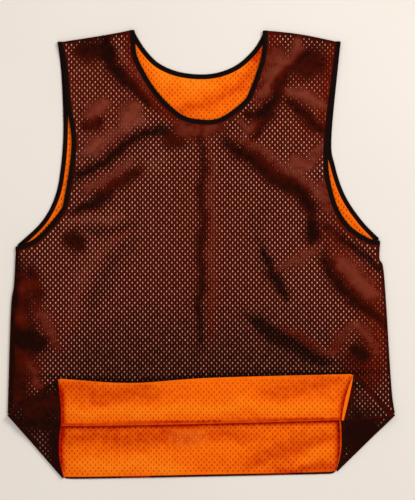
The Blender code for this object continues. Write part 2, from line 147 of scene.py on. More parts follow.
@dataclass(frozen=True)
class Outline:
    """The bib's edges seen from above, as short tables of x and y.

    Args:
        neck: the edge of the neck, on the front and on the back.
        armhole_left: the edge of the left armhole, from the shoulder to the armpit.
        armhole_right: the edge of the right armhole.
        side_left: the left side, from the crease to the armpit.
        side_right: the right side.
        shoulder_left: the left shoulder, from left to right.
        shoulder_right: the right shoulder, from left to right.
        crease: the fold of the hem, from left to right.
        hem: the hem's edge between the corner folds, on the front and on the back.
        pit: the heights at which the sides end at the armpits.
        origin: the place that the frame calls x = 0, y = 0.
    """

    neck: dict = field(default_factory=lambda: {
        Side.FRONT: ((-103, 350), (-102, 330), (-97, 302), (-69, 254), (-32, 218), (0, 209), (30, 212),
                     (64, 236), (77, 257), (94, 309), (96, 348)),
        Side.BACK: ((-103, 350), (-101, 341), (-85, 316), (-63, 295), (-29, 282), (15, 280), (52, 292),
                    (80, 316), (95, 340), (96, 348)),
    })
    armhole_left: dict = field(default_factory=lambda: {
        Side.FRONT: ((-223, 329), (-215, 293), (-209, 231), (-201, 170), (-212, 88), (-220, 66), (-248, 33),
                     (-267, 19), (-288, 12)),
        Side.BACK: ((-223, 329), (-217, 278), (-214, 194), (-218, 134), (-227, 89), (-248, 50), (-288, 12)),
    })
    armhole_right: dict = field(default_factory=lambda: {
        Side.FRONT: ((217, 329), (198, 166), (206, 92), (228, 48), (260, 25), (279, 22)),
        Side.BACK: ((217, 329), (203, 184), (208, 138), (224, 91), (250, 52), (279, 22)),
    })
    side_left: tuple = ((-301, -250), (-296, -89), (-291, -46), (-288, 12))
    side_right: tuple = ((302, -250), (296, -201), (285, -33), (278, -8), (279, 22))
    shoulder_left: tuple = ((-223, 329), (-165, 338), (-125, 345), (-103, 350))
    shoulder_right: tuple = ((96, 348), (130, 345), (165, 340), (217, 329))
    crease: tuple = ((-301, -250), (-215, -267), (217, -258), (302, -250))
    hem: dict = field(default_factory=lambda: {
        Side.FRONT: ((-223, -193), (-110, -200), (15, -192), (238, -186)),
        Side.BACK: ((-215, -349), (-156, -349), (190, -342), (212, -338)),
    })
    pit: tuple = (4.5, 13.5)
    origin: tuple = (0.37, -0.55)


@dataclass(frozen=True)
class Crease:
    """A fold of the cloth, as a soft ridge or trough along a few points.

    Args:
        path: x and y of its points.
        rise: height; negative for a trough.
        width: half width at which it has mostly faded.
        tone: painted shade and highlight, from -1, the painted shade of a trough, to 1, the painted highlight
            of a ridge that catches light.
        cover: how far it hides the holes, from 0 to 1.
        steady: whether its edges stay even, as on an ironed fold.
    """

    path: tuple
    rise: float
    width: float
    tone: float = 0.0
    cover: float = 0.0
    steady: bool = False


def flat_band(path: tuple, width: float, tone: float, cover: float = 0.0) -> Crease:
    """A flat band along a line, even along its edges; its tone paints shade where it is below 0, and its
    cover closes holes.
    """
    return Crease(path, 0.0, width, tone, cover, steady=True)


FRONT_CREASES = (
    # broad light and shade
    Crease(((-205, 300), (-180, 150)), 0.0, 60, 0.16),
    Crease(((150, 290), (170, 150)), 0.0, 55, 0.12),
    Crease(((-200, -175), (0, -190), (200, -175)), 0.0, 105, -0.5),
    # left shoulder
    Crease(((-151, 341), (-140, 297), (-112, 264), (-79, 238)), -2.4, 9, -1.0, 0.9),
    Crease(((-191, 317), (-145, 311)), -1.8, 15, -0.9, 1.0),
    Crease(((-132, 320), (-112, 286), (-72, 238)), 3.2, 8, 0.45, 0.25),
    Crease(((-96, 232), (-124, 204)), 3.4, 16, 0.8, 0.9),
    Crease(((-148, 238), (-173, 213)), 2.6, 14, 0.7, 0.85),
    Crease(((-182, 197), (-152, 202)), -1.8, 11, -0.7, 0.8),
    # from the left armhole
    Crease(((-185, 152), (-138, 183), (-92, 211)), 4.4, 12, 0.6, 0.4),
    Crease(((-182, 160), (-152, 172)), 0.6, 12, 0.35, 0.8),
    Crease(((-191, 121), (-151, 146), (-100, 183), (-64, 191)), -2.6, 9, -0.95, 0.6),
    Crease(((-179, 101), (-140, 118), (-110, 142)), 3.8, 11, 0.7, 0.6),
    Crease(((-194, 68), (-162, 78), (-131, 109), (-98, 129)), -2.4, 10, -0.9, 0.75),
    Crease(((-203, 51), (-165, 50), (-122, 56)), 2.6, 10, 0.5, 0.1),
    Crease(((-180, 38), (-146, 37), (-108, 44)), -1.6, 8, -0.55, 0.1),
    Crease(((-119, 36), (-150, 8), (-192, -30)), 2.0, 13, 0.4, 0.1),
    Crease(((-112, 22), (-142, -20), (-176, -85)), -1.2, 16, -0.32),
    Crease(((-176, -34), (-194, -74), (-206, -120)), 1.6, 13, 0.32, 0.1),
    Crease(((-152, 96), (-96, 130), (-50, 150)), 2.0, 12, 0.35, 0.05),
    # below the neck
    Crease(((-38, 197), (0, 190), (30, 195)), 1.6, 14, 0.35, 1.0),
    Crease(((-60, 185), (-30, 172)), -1.2, 11, -0.5, 0.8),
    Crease(((2, 177), (2, 45), (-3, -118)), -1.6, 7, -0.6, 0.55),
    Crease(((15, 162), (18, -118)), 1.4, 8, 0.4, 0.3),
    # right shoulder
    Crease(((151, 336), (145, 303), (109, 275), (92, 244)), 4.6, 11, 0.75, 1.0),
    Crease(((122, 318), (112, 296)), 1.6, 16, 0.35, 0.9),
    Crease(((157, 312), (138, 289), (118, 261), (106, 218), (79, 183)), -2.8, 9, -0.95, 0.9),
    Crease(((70, 216), (89, 215), (104, 236)), -2.0, 6, -0.9, 0.9),
    Crease(((58, 208), (72, 193), (98, 210)), 2.6, 8, 0.65, 0.8),
    Crease(((153, 306), (184, 286)), -1.2, 24, -0.75, 0.97),
    Crease(((126, 257), (190, 232)), 3.4, 10, 0.75, 0.9),
    Crease(((134, 234), (161, 214), (189, 189)), -2.6, 8, -0.95, 0.9),
    # the long diagonal on the right
    Crease(((64, 177), (107, 146), (137, 124), (177, 98)), 4.6, 11, 0.75, 0.65),
    Crease(((138, 152), (163, 128)), 2.2, 15, 0.6, 0.85),
    Crease(((190, 168), (166, 130)), 1.8, 9, 0.55, 0.75),
    Crease(((50, 168), (82, 146), (121, 118), (162, 92), (173, 68), (171, 47)), -3.2, 12, -1.0, 0.97),
    Crease(((185, 115), (201, 65)), 2.6, 13, 0.45, 0.7),
    # left flank
    Crease(((-284, -25), (-280, -120), (-286, -232)), 0.0, 27, -0.65, 0.85),
    Crease(((-211, 25), (-183, 12)), -2.2, 14, -0.85, 0.85),
    Crease(((-285, -56), (-253, -47)), 2.6, 14, 0.75, 1.0),
    Crease(((-288, -103), (-269, -100)), 2.0, 12, 0.8, 1.0),
    Crease(((-260, -76), (-238, -107), (-222, -145)), 4.0, 12, 0.7, 0.7),
    Crease(((-285, -131), (-244, -140)), -2.0, 19, -0.8, 1.0),
    Crease(((-262, -20), (-255, -80)), -1.4, 10, -0.6, 0.8),
    Crease(((-283, -145), (-260, -182), (-249, -204)), 3.0, 11, 0.65, 0.9),
    # right flank
    Crease(((225, -170), (285, -235)), 0.0, 42, -0.35),
    Crease(((95, 8), (112, -37), (132, -65)), -2.2, 7, -0.85, 0.5),
    Crease(((180, 5), (142, -15), (112, -24)), 2.6, 9, 0.6, 0.45),
    Crease(((100, 90), (84, 30), (92, -20)), -1.0, 12, -0.22),
    Crease(((172, 62), (196, 40), (214, 18), (238, -8)), 2.2, 6, 0.45, 0.3),
    Crease(((188, 46), (216, 24), (246, -2), (276, -22)), -1.8, 8, -0.85, 0.45),
    Crease(((168, 40), (177, 17)), -2.4, 12, -0.85, 0.9),
    Crease(((194, -6), (213, -48), (250, -81), (275, -103)), -3.0, 10, -0.95, 0.8),
    Crease(((210, -6), (240, -36), (274, -66)), 4.8, 15, 0.7, 1.0),
    Crease(((79, -103), (132, -135), (187, -165)), -2.2, 10, -0.8, 0.35),
    Crease(((123, -114), (160, -137), (197, -157)), 3.2, 9, 0.6, 0.5),
    Crease(((197, -157), (218, -131), (235, -107)), 3.2, 12, 0.55, 0.6),
    Crease(((239, -107), (275, -151)), 2.8, 10, 0.55, 0.8),
    Crease(((235, -149), (260, -156)), -1.8, 12, -0.75, 0.7),
)
FLAP_CREASES = (
    Crease(((-214, -206), (-150, -220), (-75, -215)), -0.8, 16, -0.42),
    Crease(((-200, -245), (-60, -243), (60, -238)), 1.2, 10, 0.5),
    Crease(((-20, -205), (80, -212)), 0.6, 20, 0.1),
    Crease(((90, -226), (150, -206), (214, -198)), -0.8, 14, -0.36),
    Crease(((60, -228), (150, -240), (200, -236)), 0.9, 12, 0.45),
)
BACK_CREASES = (
    # inside the neck
    Crease(((-70, 305), (0, 262), (75, 305)), 0.0, 55, 0.28),
    Crease(((-34, 221), (-2, 233), (61, 260), (95, 317)), -1.2, 11, -0.55),
    Crease(((-53, 249), (-36, 263)), -0.8, 9, -0.4),
    Crease(((-80, 300), (-40, 262), (20, 262)), 1.2, 14, 0.4),
    Crease(((86, 300), (94, 330)), -0.6, 9, -0.3),
    # below the crease
    Crease(((-212, -283), (-90, -286), (60, -284)), -0.8, 15, -0.5),
    Crease(((-190, -330), (-110, -326), (-30, -334)), 1.4, 14, 0.55),
    Crease(((-60, -310), (10, -295), (60, -300)), 1.2, 16, 0.25),
    Crease(((70, -330), (150, -296), (205, -285)), -1.0, 14, -0.45),
    Crease(((150, -325), (196, -300)), 1.2, 12, 0.4),
    Crease(((120, -338), (208, -332)), -0.6, 10, -0.6),
)
# how far the front stands up away from its edges
FRONT_PUFF = 1.6
# how far a red zone bares the cloth beneath, how much painted shade it puts on that, and how much it lightens
# the cloth on top
RED_BARES, RED_PAINTED_SHADE, RED_TRACE = 0.75, 0.8, 0.035
# where the cloth beneath looks red through the holes, being its own orange in painted shade: path, width and
# share
RED_ZONES = (
    (((-112, 330), (-104, 290), (-76, 240), (-40, 210)), 12, 0.95),
    (((110, 345), (104, 300), (86, 250)), 12, 0.9),
    (((205, 318), (196, 262), (190, 190)), 14, 0.9),
    (((-214, 300), (-206, 240)), 12, 0.6),
    (((206, 110), (216, 60), (250, 30)), 14, 0.9),
    (((196, 40), (230, -30), (262, -80)), 22, 0.6),
    (((262, -40), (276, -120), (270, -190)), 20, 0.85),
    (((232, -150), (262, -210)), 22, 0.7),
    (((10, 170), (16, 20), (14, -120)), 8, 0.2),
    (((-10, 200), (30, 202)), 10, 0.9),
    (((-175, 300), (-150, 170)), 45, 0.3),
    (((150, 300), (165, 170)), 45, 0.3),
    (((-20, 100), (0, -60)), 90, 0.12),
)
PLATE_CREASES = (
    Crease(((-272, -246), (-222, -224)), 0.5, 26, 0.08, 0.97),
    Crease(((-290, -256), (-255, -264), (-222, -270)), -0.3, 9, -0.2, 0.97),
    Crease(((-226, -280), (-224, -310), (-217, -345)), -0.3, 9, -0.3, 0.97),
    Crease(((246, -214), (268, -238)), 0.5, 8, 0.25, 0.2),
    Crease(((226, -286), (268, -268)), -0.3, 30, -0.3, 0.97),
)
# painted shade of the corner folds, and painted shade of the narrow edge of the inner cloth beside them, with
# a painted highlight instead on the front's right one
PLATE_SHADE = {(Side.FRONT, 0): -0.8, (Side.FRONT, 1): -0.55,
               (Side.BACK, 0): -0.75, (Side.BACK, 1): -0.75}
LIP_LIGHT_AND_SHADE = {(Side.FRONT, 0): -1.0, (Side.FRONT, 1): 0.2, (Side.BACK, 0): -0.9, (Side.BACK, 1): -0.5}
# a painted pool of light on the inside of the back's outer cloth, where the table seems to show palely
# through both layers: path, width and tone added
PAINTED_LIGHT_PATH, PAINTED_LIGHT_WIDTH, PAINTED_LIGHT_TONE = ((-50, -282), (-20, -284), (8, -285)), 14.0, 1.9


def smooth_curve(points: tuple, steps: int = 12) -> Points:
    """A smooth curve through the points.

    From b to c, between neighbours a and d, it is half of 2b + (c - a)t + (2a - 5b + 4c - d)t^2 +
    (3b - a - 3c + d)t^3, for t from 0 to 1.

    Args:
        points: x and y of each.
        steps: how many places between two points.

    Returns:
        The places along the curve, one per row.
    """
    p = np.array(points, float)
    p = np.vstack([2 * p[0] - p[1], p, 2 * p[-1] - p[-2]])
    t = np.linspace(0, 1, steps, endpoint=False)[:, None]
    spans = []
    for a, b, c, d in zip(p[:-3], p[1:-2], p[2:-1], p[3:]):
        bend = 2 * a - 5 * b + 4 * c - d
        spans.append(0.5 * (2 * b + (c - a) * t + bend * t**2 + (3 * b - a - 3 * c + d) * t**3))
    return np.vstack(spans + [p[-2:-1]])


def moved_aside(curve: Points, distance: float) -> Points:
    """A curve moved to its left: each place plus distance times the direction at right angles to the curve.

    Args:
        curve: its places.
        distance: how far it moves; negative to its right.

    Returns:
        The moved places.
    """
    along = np.gradient(curve, axis=0)
    along /= np.linalg.norm(along, axis=1)[:, None]
    return curve + distance * np.column_stack([-along[:, 1], along[:, 0]])


def length_along(curve: Points) -> Values:
    """Length of a curve from its start up to each of its places."""
    return np.concatenate([[0], np.cumsum(np.linalg.norm(np.diff(curve, axis=0), axis=1))])


def spaced(curve: Points, step: float) -> Points:
    """The curve with places evenly spaced along it, and the same ends.

    Args:
        curve: its places.
        step: about how far apart the new places are.

    Returns:
        The new places.
    """
    length = length_along(curve)
    at = np.linspace(0, length[-1], max(2, round(length[-1] / step) + 1))
    return np.column_stack([np.interp(at, length, curve[:, k]) for k in range(curve.shape[1])])


def x_at(curve: Points, y: Values | float) -> Values:
    """x of a curve at heights y, where y only rises or only falls along it."""
    order = np.argsort(curve[:, 1])
    return np.interp(y, curve[order, 1], curve[order, 0])


def y_at(curve: Points, x: Values | float) -> Values:
    """y of a curve at places x, where x only rises or only falls along it."""
    order = np.argsort(curve[:, 0])
    return np.interp(x, curve[order, 0], curve[order, 1])


def eased(t: Values) -> Values:
    """0 to 1 with a soft start and a soft end: 3t^2 - 2t^3."""
    t = np.clip(t, 0.0, 1.0)
    return t * t * (3 - 2 * t)


def closed(outline: Points) -> Points:
    """An outline with its first place added at its end."""
    return np.vstack([outline, outline[:1]])


def thinned(curve: Points, step: int) -> tuple:
    """One in so many places of a curve, as a table."""
    return tuple(map(tuple, curve[::step]))


def path_distance(xy: Points, path: Points | tuple) -> tuple:
    """Distance of each place from a broken line, and how far along it the nearest point is.

    For each straight part the nearest point is its start plus t times its length, with t the share of the
    way along it at which the place stands, kept between 0 and 1. Past the line's two ends t goes on.

    Args:
        xy: places, one per row.
        path: x and y of the line's points.

    Returns:
        Distances, lengths along the line (past its ends negative or more than the whole), and its length.
    """
    past_end, far = 9.0, 1e9
    p = np.array(path, float)
    best = np.full(len(xy), far)
    along = np.zeros(len(xy))
    start = 0.0
    for k, (a, b) in enumerate(zip(p[:-1], p[1:])):
        d = b - a
        length = float(np.hypot(*d))
        t = ((xy - a) @ d) / length**2
        low = -past_end if k == 0 else 0.0
        high = past_end if k == len(p) - 2 else 1.0
        t = np.clip(t, low, high)
        near = np.hypot(*(xy - a - t[:, None] * d).T)
        closer = near < best
        best = np.where(closer, near, best)
        along = np.where(closer, start + t * length, along)
        start += length
    return best, along, start


def stroke(xy: Points, path: tuple, width: float) -> Values:
    """How strongly a soft stroke along a path reaches each place.

    It falls as exp(-q) with q the square of distance over width, is narrower near its ends, and fades past
    them.

    Args:
        xy: places, one per row.
        path: x and y of the stroke's points.
        width: half width at which it has mostly faded.

    Returns:
        Its strength at each place, from 0 to 1.
    """
    off, along, length = path_distance(xy, path)
    soft = max(width, 0.3 * length)
    ends = eased((along + soft * 0.7) / soft) * eased((length + soft * 0.7 - along) / soft)
    wide = width * (0.7 + 0.4 * np.sin(math.pi * np.clip(along / length, 0, 1)))
    return ends * np.exp(-((off / wide) ** 2))


def wandering(xy: Points) -> Points:
    """A small uneven shift of each place, by which creases lose their even edges.

    In x and in y it is the sum of three sine waves, each running slantwise over the cloth.

    Args:
        xy: places, one per row.

    Returns:
        The shifts.
    """
    x, y = xy[:, 0], xy[:, 1]
    shift_x = 2.6 * np.sin(0.071 * y + 0.043 * x + 1.1) + 1.5 * np.sin(0.173 * y - 0.131 * x + 2.3)
    shift_y = 2.6 * np.sin(0.067 * x - 0.052 * y + 0.4) + 1.5 * np.sin(0.157 * x + 0.149 * y + 4.0)
    fine_x, fine_y = 0.8 * np.sin(0.41 * y + 0.2 * x), 0.8 * np.sin(0.37 * x - 0.3 * y)
    return np.column_stack([shift_x + fine_x, shift_y + fine_y])


def inside(polygon: Points, xy: Points) -> Values:
    """Whether each place is inside a polygon, by counting the edges to its right that cross its height.

    Args:
        polygon: its corners.
        xy: places, one per row.

    Returns:
        True or False for each place.
    """
    x, y = xy[:, 0], xy[:, 1]
    hit = np.zeros(len(xy), bool)
    for (ax, ay), (bx, by) in zip(polygon, np.roll(polygon, -1, axis=0)):
        if ay == by:
            continue
        crosses = (ay > y) != (by > y)
        hit ^= crosses & (x < ax + (y - ay) * (bx - ax) / (by - ay))
    return hit


def red_share(xy: Points) -> Values:
    """How red the covered cloth looks through the holes: 1 less the product of 1 - share * strength.

    Args:
        xy: places, one per row.

    Returns:
        A share from 0 to 1 for each.
    """
    pale = np.ones(len(xy))
    for path, width, share in RED_ZONES:
        pale *= 1 - share * stroke(xy, path, width)
    return 1 - pale


def room_beside(lines: list, hidden: list) -> Field:
    """How much room creases have between lines at which the cloth is held.

    Args:
        lines: the lines.
        hidden: polygons in which other cloth lies on top, where there is no room.

    Returns:
        A function from places to their distance from the nearest line, or 0 in a hidden place.
    """

    def room(xy: Points) -> Values:
        """Distance from the nearest line, or 0 where hidden."""
        near = np.min([path_distance(xy, line)[0] for line in lines], axis=0)
        return np.where(np.any([inside(shape, xy) for shape in hidden], axis=0), 0.0, near)

    return room


def values_at(value: Field | Values | float, xy: Points) -> Values | float:
    """A value that may depend on the place, at these places."""
    return value(xy) if callable(value) else value


@dataclass(frozen=True)
class Relief:
    """Height, tone of painted light and shade, and hole cover of a stretch of cloth, from its creases.

    Args:
        creases: the folds.
        puff: how far the cloth stands up away from its edges.
        fade: width beside the edges in which folds fade.
    """

    creases: tuple
    puff: float = 0.0
    fade: float = 26.0

    def at(self, xy: Points, room: Values) -> tuple:
        """Height, tone and cover at each place: sums over the creases, and the largest cover.

        Args:
            xy: places, one per row.
            room: their distances from the nearest held edge.

        Returns:
            Heights, tones and covers.
        """
        height = np.full(len(xy), self.puff)
        tone = np.zeros(len(xy))
        cover = np.zeros(len(xy))
        bent = xy + wandering(xy)
        for crease in self.creases:
            shape = stroke(xy if crease.steady else bent, crease.path, crease.width)
            height += crease.rise * shape
            tone += crease.tone * shape
            cover = np.maximum(cover, crease.cover * shape)
        height = np.maximum(height, 0.0) * eased(room / self.fade)
        return height, np.clip(tone, -1, 1), cover


@dataclass(frozen=True)
class Net:
    """The staggered holes of the mesh.

    Args:
        pitch_x: distance between holes of one row.
        pitch_y: distance between rows; every other row is moved by half of pitch_x.
        hole: width and height of a hole.
        start: a place where a hole of the full lattice lies.
        edge: least width of plain cloth at the edges.
        smallest: the share of a hole's full size under which the cloth is left whole.
        hole_edge_shade: how much painted shade darkens the tone at the holes' edges.
    """

    pitch_x: float = 8.2
    pitch_y: float = 4.45
    hole: tuple = (1.45, 3.05)
    start: tuple = (0.0, 0.0)
    edge: float = 0.6
    smallest: float = 0.28
    hole_edge_shade: float = 0.5


ORANGE_HOLE = (1.15, 3.3)
NETS = {
    (Side.FRONT, Cloth.OUTER): Net(),
    (Side.FRONT, Cloth.INNER): Net(8.21, 4.454, hole=ORANGE_HOLE, start=(4.1, 0.0), hole_edge_shade=0.15),
    (Side.BACK, Cloth.OUTER): Net(start=(-15.9, -288.0), hole_edge_shade=0.0),
    (Side.BACK, Cloth.INNER): Net(hole=ORANGE_HOLE, start=(-20.0, -288.0), hole_edge_shade=0.15),
}


def in_frame(points: Points) -> Points:
    """Places of the drawing in the frame's own place and in metres."""
    return (points - (*Outline().origin, 0.0)) * MM


def linked(name: str, data: bpy.types.ID) -> bpy.types.Object:
    """A new object of this mesh, lamp or camera in the scene.

    Args:
        name: its name.
        data: what it shows.

    Returns:
        The object.
    """
    made = bpy.data.objects.new(name, data)
    bpy.context.scene.collection.objects.link(made)
    return made


def turn_faces(mesh: bpy.types.Mesh, faces_up: bool | None = None) -> None:
    """Turns all faces of a mesh the same way, and shades it smoothly.

    Args:
        mesh: the mesh.
        faces_up: whether its first face has to face up, or None where it is closed and faces outward.
    """
    tidy = bmesh.new()
    tidy.from_mesh(mesh)
    bmesh.ops.recalc_face_normals(tidy, faces=tidy.faces)
    tidy.faces.ensure_lookup_table()
    if faces_up is not None and (tidy.faces[0].normal.z > 0) != faces_up:
        bmesh.ops.reverse_faces(tidy, faces=tidy.faces)
    tidy.to_mesh(mesh)
    tidy.free()
    mesh.shade_smooth()


class Surface:
    """Collects the stretches of one piece of cloth, and joins them where their places are the same."""

    def __init__(self) -> None:
        """Starts with nothing."""
        self.points: list = []
        self.tone: list = []
        self.under: list = []
        self.faces: list = []
        self.count = 0

    def add(self, points: Points, faces: list, tone: Values | float, under: Values | float) -> None:
        """Adds a stretch.

        Args:
            points: x, y and z of its places.
            faces: arrays of three or four indices each.
            tone: its tone, one for all or one for each place.
            under: 1 where it lies beneath other cloth, and 0 where it shows, one for all or one for each.
        """
        self.points.append(points)
        self.tone.append(np.broadcast_to(tone, len(points)))
        self.under.append(np.broadcast_to(under, len(points)))
        self.faces += [f + self.count for f in faces if len(f)]
        self.count += len(points)

    def strip(self, rows: Points, tone: Values | float, under: float = 0.0) -> None:
        """Adds a grid of places.

        Args:
            rows: the places, of shape (rows, columns, 3).
            tone: its tone, one for all or one for each row.
            under: 1 where it lies beneath other cloth, or 0.
        """
        n, m = rows.shape[:2]
        i, j = np.meshgrid(np.arange(n - 1), np.arange(m - 1), indexing="ij")
        a = (i * m + j).ravel()
        quads = np.column_stack([a, a + 1, a + m + 1, a + m])
        values = tone if np.ndim(tone) == 0 else np.repeat(tone, m)
        self.add(rows.reshape(-1, 3), [quads], values, under)

    def fan(self, centre: Points, rim: Points, tone: float) -> None:
        """Adds triangles between one place and a row of others.

        Args:
            centre: the one place.
            rim: the row.
            tone: its tone.
        """
        k = np.arange(1, len(rim))
        self.add(np.vstack([centre, rim]), [np.column_stack([0 * k, k, k + 1])], tone, 0.0)

    def build(self, name: str, faces_up: bool) -> bpy.types.Object:
        """Makes the mesh.

        Args:
            name: the piece's name.
            faces_up: whether the stretch that was added first faces up.

        Returns:
            The piece, with its UV map and its attributes.
        """
        points = np.vstack(self.points)
        _, first, inverse = np.unique(np.round(points, 4), axis=0, return_index=True, return_inverse=True)
        inverse = inverse.reshape(-1)
        polygons = [row for f in self.faces for row in inverse[f].tolist() if len(set(row)) == len(row)]
        places = in_frame(points[first])
        mesh = bpy.data.meshes.new(name)
        mesh.from_pydata(places.tolist(), [], polygons)
        for label, values in (("tone", self.tone), ("under", self.under)):
            layer = mesh.attributes.new(label, "FLOAT", "POINT")
            layer.data.foreach_set("value", np.concatenate(values)[first].astype(np.float32))
        turn_faces(mesh, faces_up)
        index = np.empty(len(mesh.loops), np.int32)
        mesh.loops.foreach_get("vertex_index", index)
        flat = mesh.uv_layers.new(name="cloth")
        flat.data.foreach_set("uv", places[index, :2].astype(np.float32).ravel())
        return linked(name, mesh)


class NetPatch:
    """A stretch of mesh in plan: brick-shaped cells with a hole each, and plain cloth out to its outline.

    Columns are counted in half pitches and rows in whole ones, and a cell stands where their sum is even.
    """

    RIM = ((-1, 0), (0, 0), (1, 0), (1, 1), (0, 1), (-1, 1))
    NEIGHBOURS = ((-1, -1), (1, -1), (2, 0), (1, 1), (-1, 1), (-2, 0))
    CORNERS = (230, 270, 310, 50, 90, 130)
    SLANT = math.radians(50)
    MIDDLE = 2048
    BATCH = 2000

    def __init__(self, outline: Points, net: Net, cover: Field) -> None:
        """Works out the places and faces.

        Args:
            outline: its polygon.
            net: the mesh it is made of.
            cover: a function from places to the share by which holes are closed.
        """
        self.outline = outline - net.start
        self.net = net
        self.every = self.lattice()
        self.column, self.row = self.whole_cells()
        self.known = self.code(self.column, self.row)
        codes = np.column_stack([self.code(self.column + a, self.row + b) for a, b in self.RIM])
        found, rim = np.unique(codes, return_inverse=True)
        rim = rim.reshape(codes.shape)
        half, span = net.pitch_x / 2, 2 * self.MIDDLE
        columns, rows = found // span - self.MIDDLE, found % span - self.MIDDLE
        corners = np.column_stack([columns * half, (rows - 0.5) * net.pitch_y])
        centre = np.column_stack([self.column * half, self.row * net.pitch_y])
        share = 1.0 - cover(centre + net.start)
        ajar = share >= net.smallest
        holes = self.rings(centre[ajar], share[ajar]).reshape(-1, 2)
        hole_quads = self.hole_quads(rim[ajar], len(corners))
        shut = rim[~ajar]
        plain = np.vstack([shut[:, [0, 1, 4, 5]], shut[:, [1, 2, 3, 4]]])
        outer = self.edge_cells(cover)
        triangles = self.border(corners, rim, len(corners) + len(holes), *outer)
        parts = (corners, holes, self.outline, self.rings(*outer).reshape(-1, 2))
        self.xy = np.vstack(parts) + net.start
        # 1 at the holes' corners, where the painted shade of the holes' edges goes into the tone
        self.rim = np.repeat((0.0, 1.0, 0.0, 1.0), [len(part) for part in parts])
        self.faces = [hole_quads, plain, triangles]

    @classmethod
    def code(cls, column: Values, row: Values) -> Values:
        """One number for each pair of a column and a row."""
        return (column + cls.MIDDLE) * 2 * cls.MIDDLE + row + cls.MIDDLE

    def lattice(self) -> tuple:
        """All cells of the box round the outline.

        Returns:
            Their columns and their rows.
        """
        low, high = self.outline.min(0), self.outline.max(0)
        half, tall = self.net.pitch_x / 2, self.net.pitch_y
        rows = np.arange(math.floor(low[1] / tall), math.ceil(high[1] / tall) + 1)
        columns = np.arange(math.floor(low[0] / half), math.ceil(high[0] / half) + 1)
        c, r = np.meshgrid(columns, rows)
        keep = (c + r) % 2 == 0
        return c[keep], r[keep]

    def whole_cells(self) -> tuple:
        """The cells that lie inside the outline as a whole.

        Returns:
            Their columns and their rows.
        """
        c, r = self.every
        good = self.fits(c, r, self.net.pitch_x / 2 + self.net.edge, self.net.pitch_y / 2 + self.net.edge)
        return c[good], r[good]

    def fits(self, c: Values, r: Values, wide: float, high: float) -> Values:
        """Whether a box round each cell's middle lies inside the outline.

        Args:
            c: the cells' columns.
            r: their rows.
            wide: half the box's width.
            high: half its height.

        Returns:
            True or False for each cell.
        """
        good = np.ones(len(c), bool)
        for sx, sy in ((-1, -1), (0, -1), (1, -1), (1, 1), (0, 1), (-1, 1)):
            x = c * self.net.pitch_x / 2 + sx * wide
            y = r * self.net.pitch_y + sy * high
            good[good] = inside(self.outline, np.column_stack([x, y])[good])
        return good

    def edge_cells(self, cover: Field) -> tuple:
        """The holes that still fit between the whole cells and the outline.

        Args:
            cover: a function from places to the share by which holes are closed.

        Returns:
            Their middles and the shares by which they are open.
        """
        c, r = self.every
        good = ~np.isin(self.code(c, r), self.known)
        c, r = c[good], r[good]
        good = self.fits(c, r, self.net.hole[0] / 2 + self.net.edge, self.net.hole[1] / 2 + self.net.edge)
        centre = np.column_stack([c * self.net.pitch_x / 2, r * self.net.pitch_y])[good]
        share = 1.0 - cover(centre + self.net.start)
        ajar = share >= self.net.smallest
        return centre[ajar], share[ajar]

    def rings(self, centre: Points, share: Values) -> Points:
        """Six-sided holes: each middle plus (a cos t, b sin t) times its share, at six angles t.

        Args:
            centre: the holes' middles.
            share: how far each is open.

        Returns:
            Their corners, of shape (holes, 6, 2), in the order of the rim's places.
        """
        angle = np.radians(self.CORNERS)
        wide = self.net.hole[0] / 2 / math.cos(self.SLANT)
        ring = np.column_stack([wide * np.cos(angle), self.net.hole[1] / 2 * np.sin(angle)])
        return centre[:, None, :] + share[:, None, None] * ring

    @staticmethod
    def hole_quads(rim: Values, start: int) -> Values:
        """The faces between each hole and its cell's rim.

        Args:
            rim: indices of the rims' six places, one row for each cell.
            start: index of the first hole's first corner.

        Returns:
            Four indices for each face.
        """
        index = start + np.arange(6 * len(rim)).reshape(-1, 6)
        ahead = [1, 2, 3, 4, 5, 0]
        return np.stack([rim, rim[:, ahead], index[:, ahead], index], axis=2).reshape(-1, 4)

    def in_rings(self, xy: Points, centre: Points, share: Values) -> Values:
        """Whether each place is inside one of the six-sided holes.

        It is where its distance sideways is under the half width, and its distance upward under the half
        height less a slope times the distance sideways.

        Args:
            xy: places, one per row.
            centre: the holes' middles.
            share: how far each is open.

        Returns:
            True or False for each place.
        """
        wide, high = self.net.hole[0] / 2, self.net.hole[1] / 2
        slope = high * (1 - math.sin(self.SLANT)) / wide
        hit = np.zeros(len(xy), bool)
        for start in range(0, len(xy), self.BATCH):
            part = slice(start, start + self.BATCH)
            off = np.abs(xy[part, None, :] - centre)
            size = np.broadcast_to(share, off.shape[:2])
            below = off[..., 1] < high * size - slope * off[..., 0]
            hit[part] = ((off[..., 0] < wide * size) & below).any(1)
        return hit

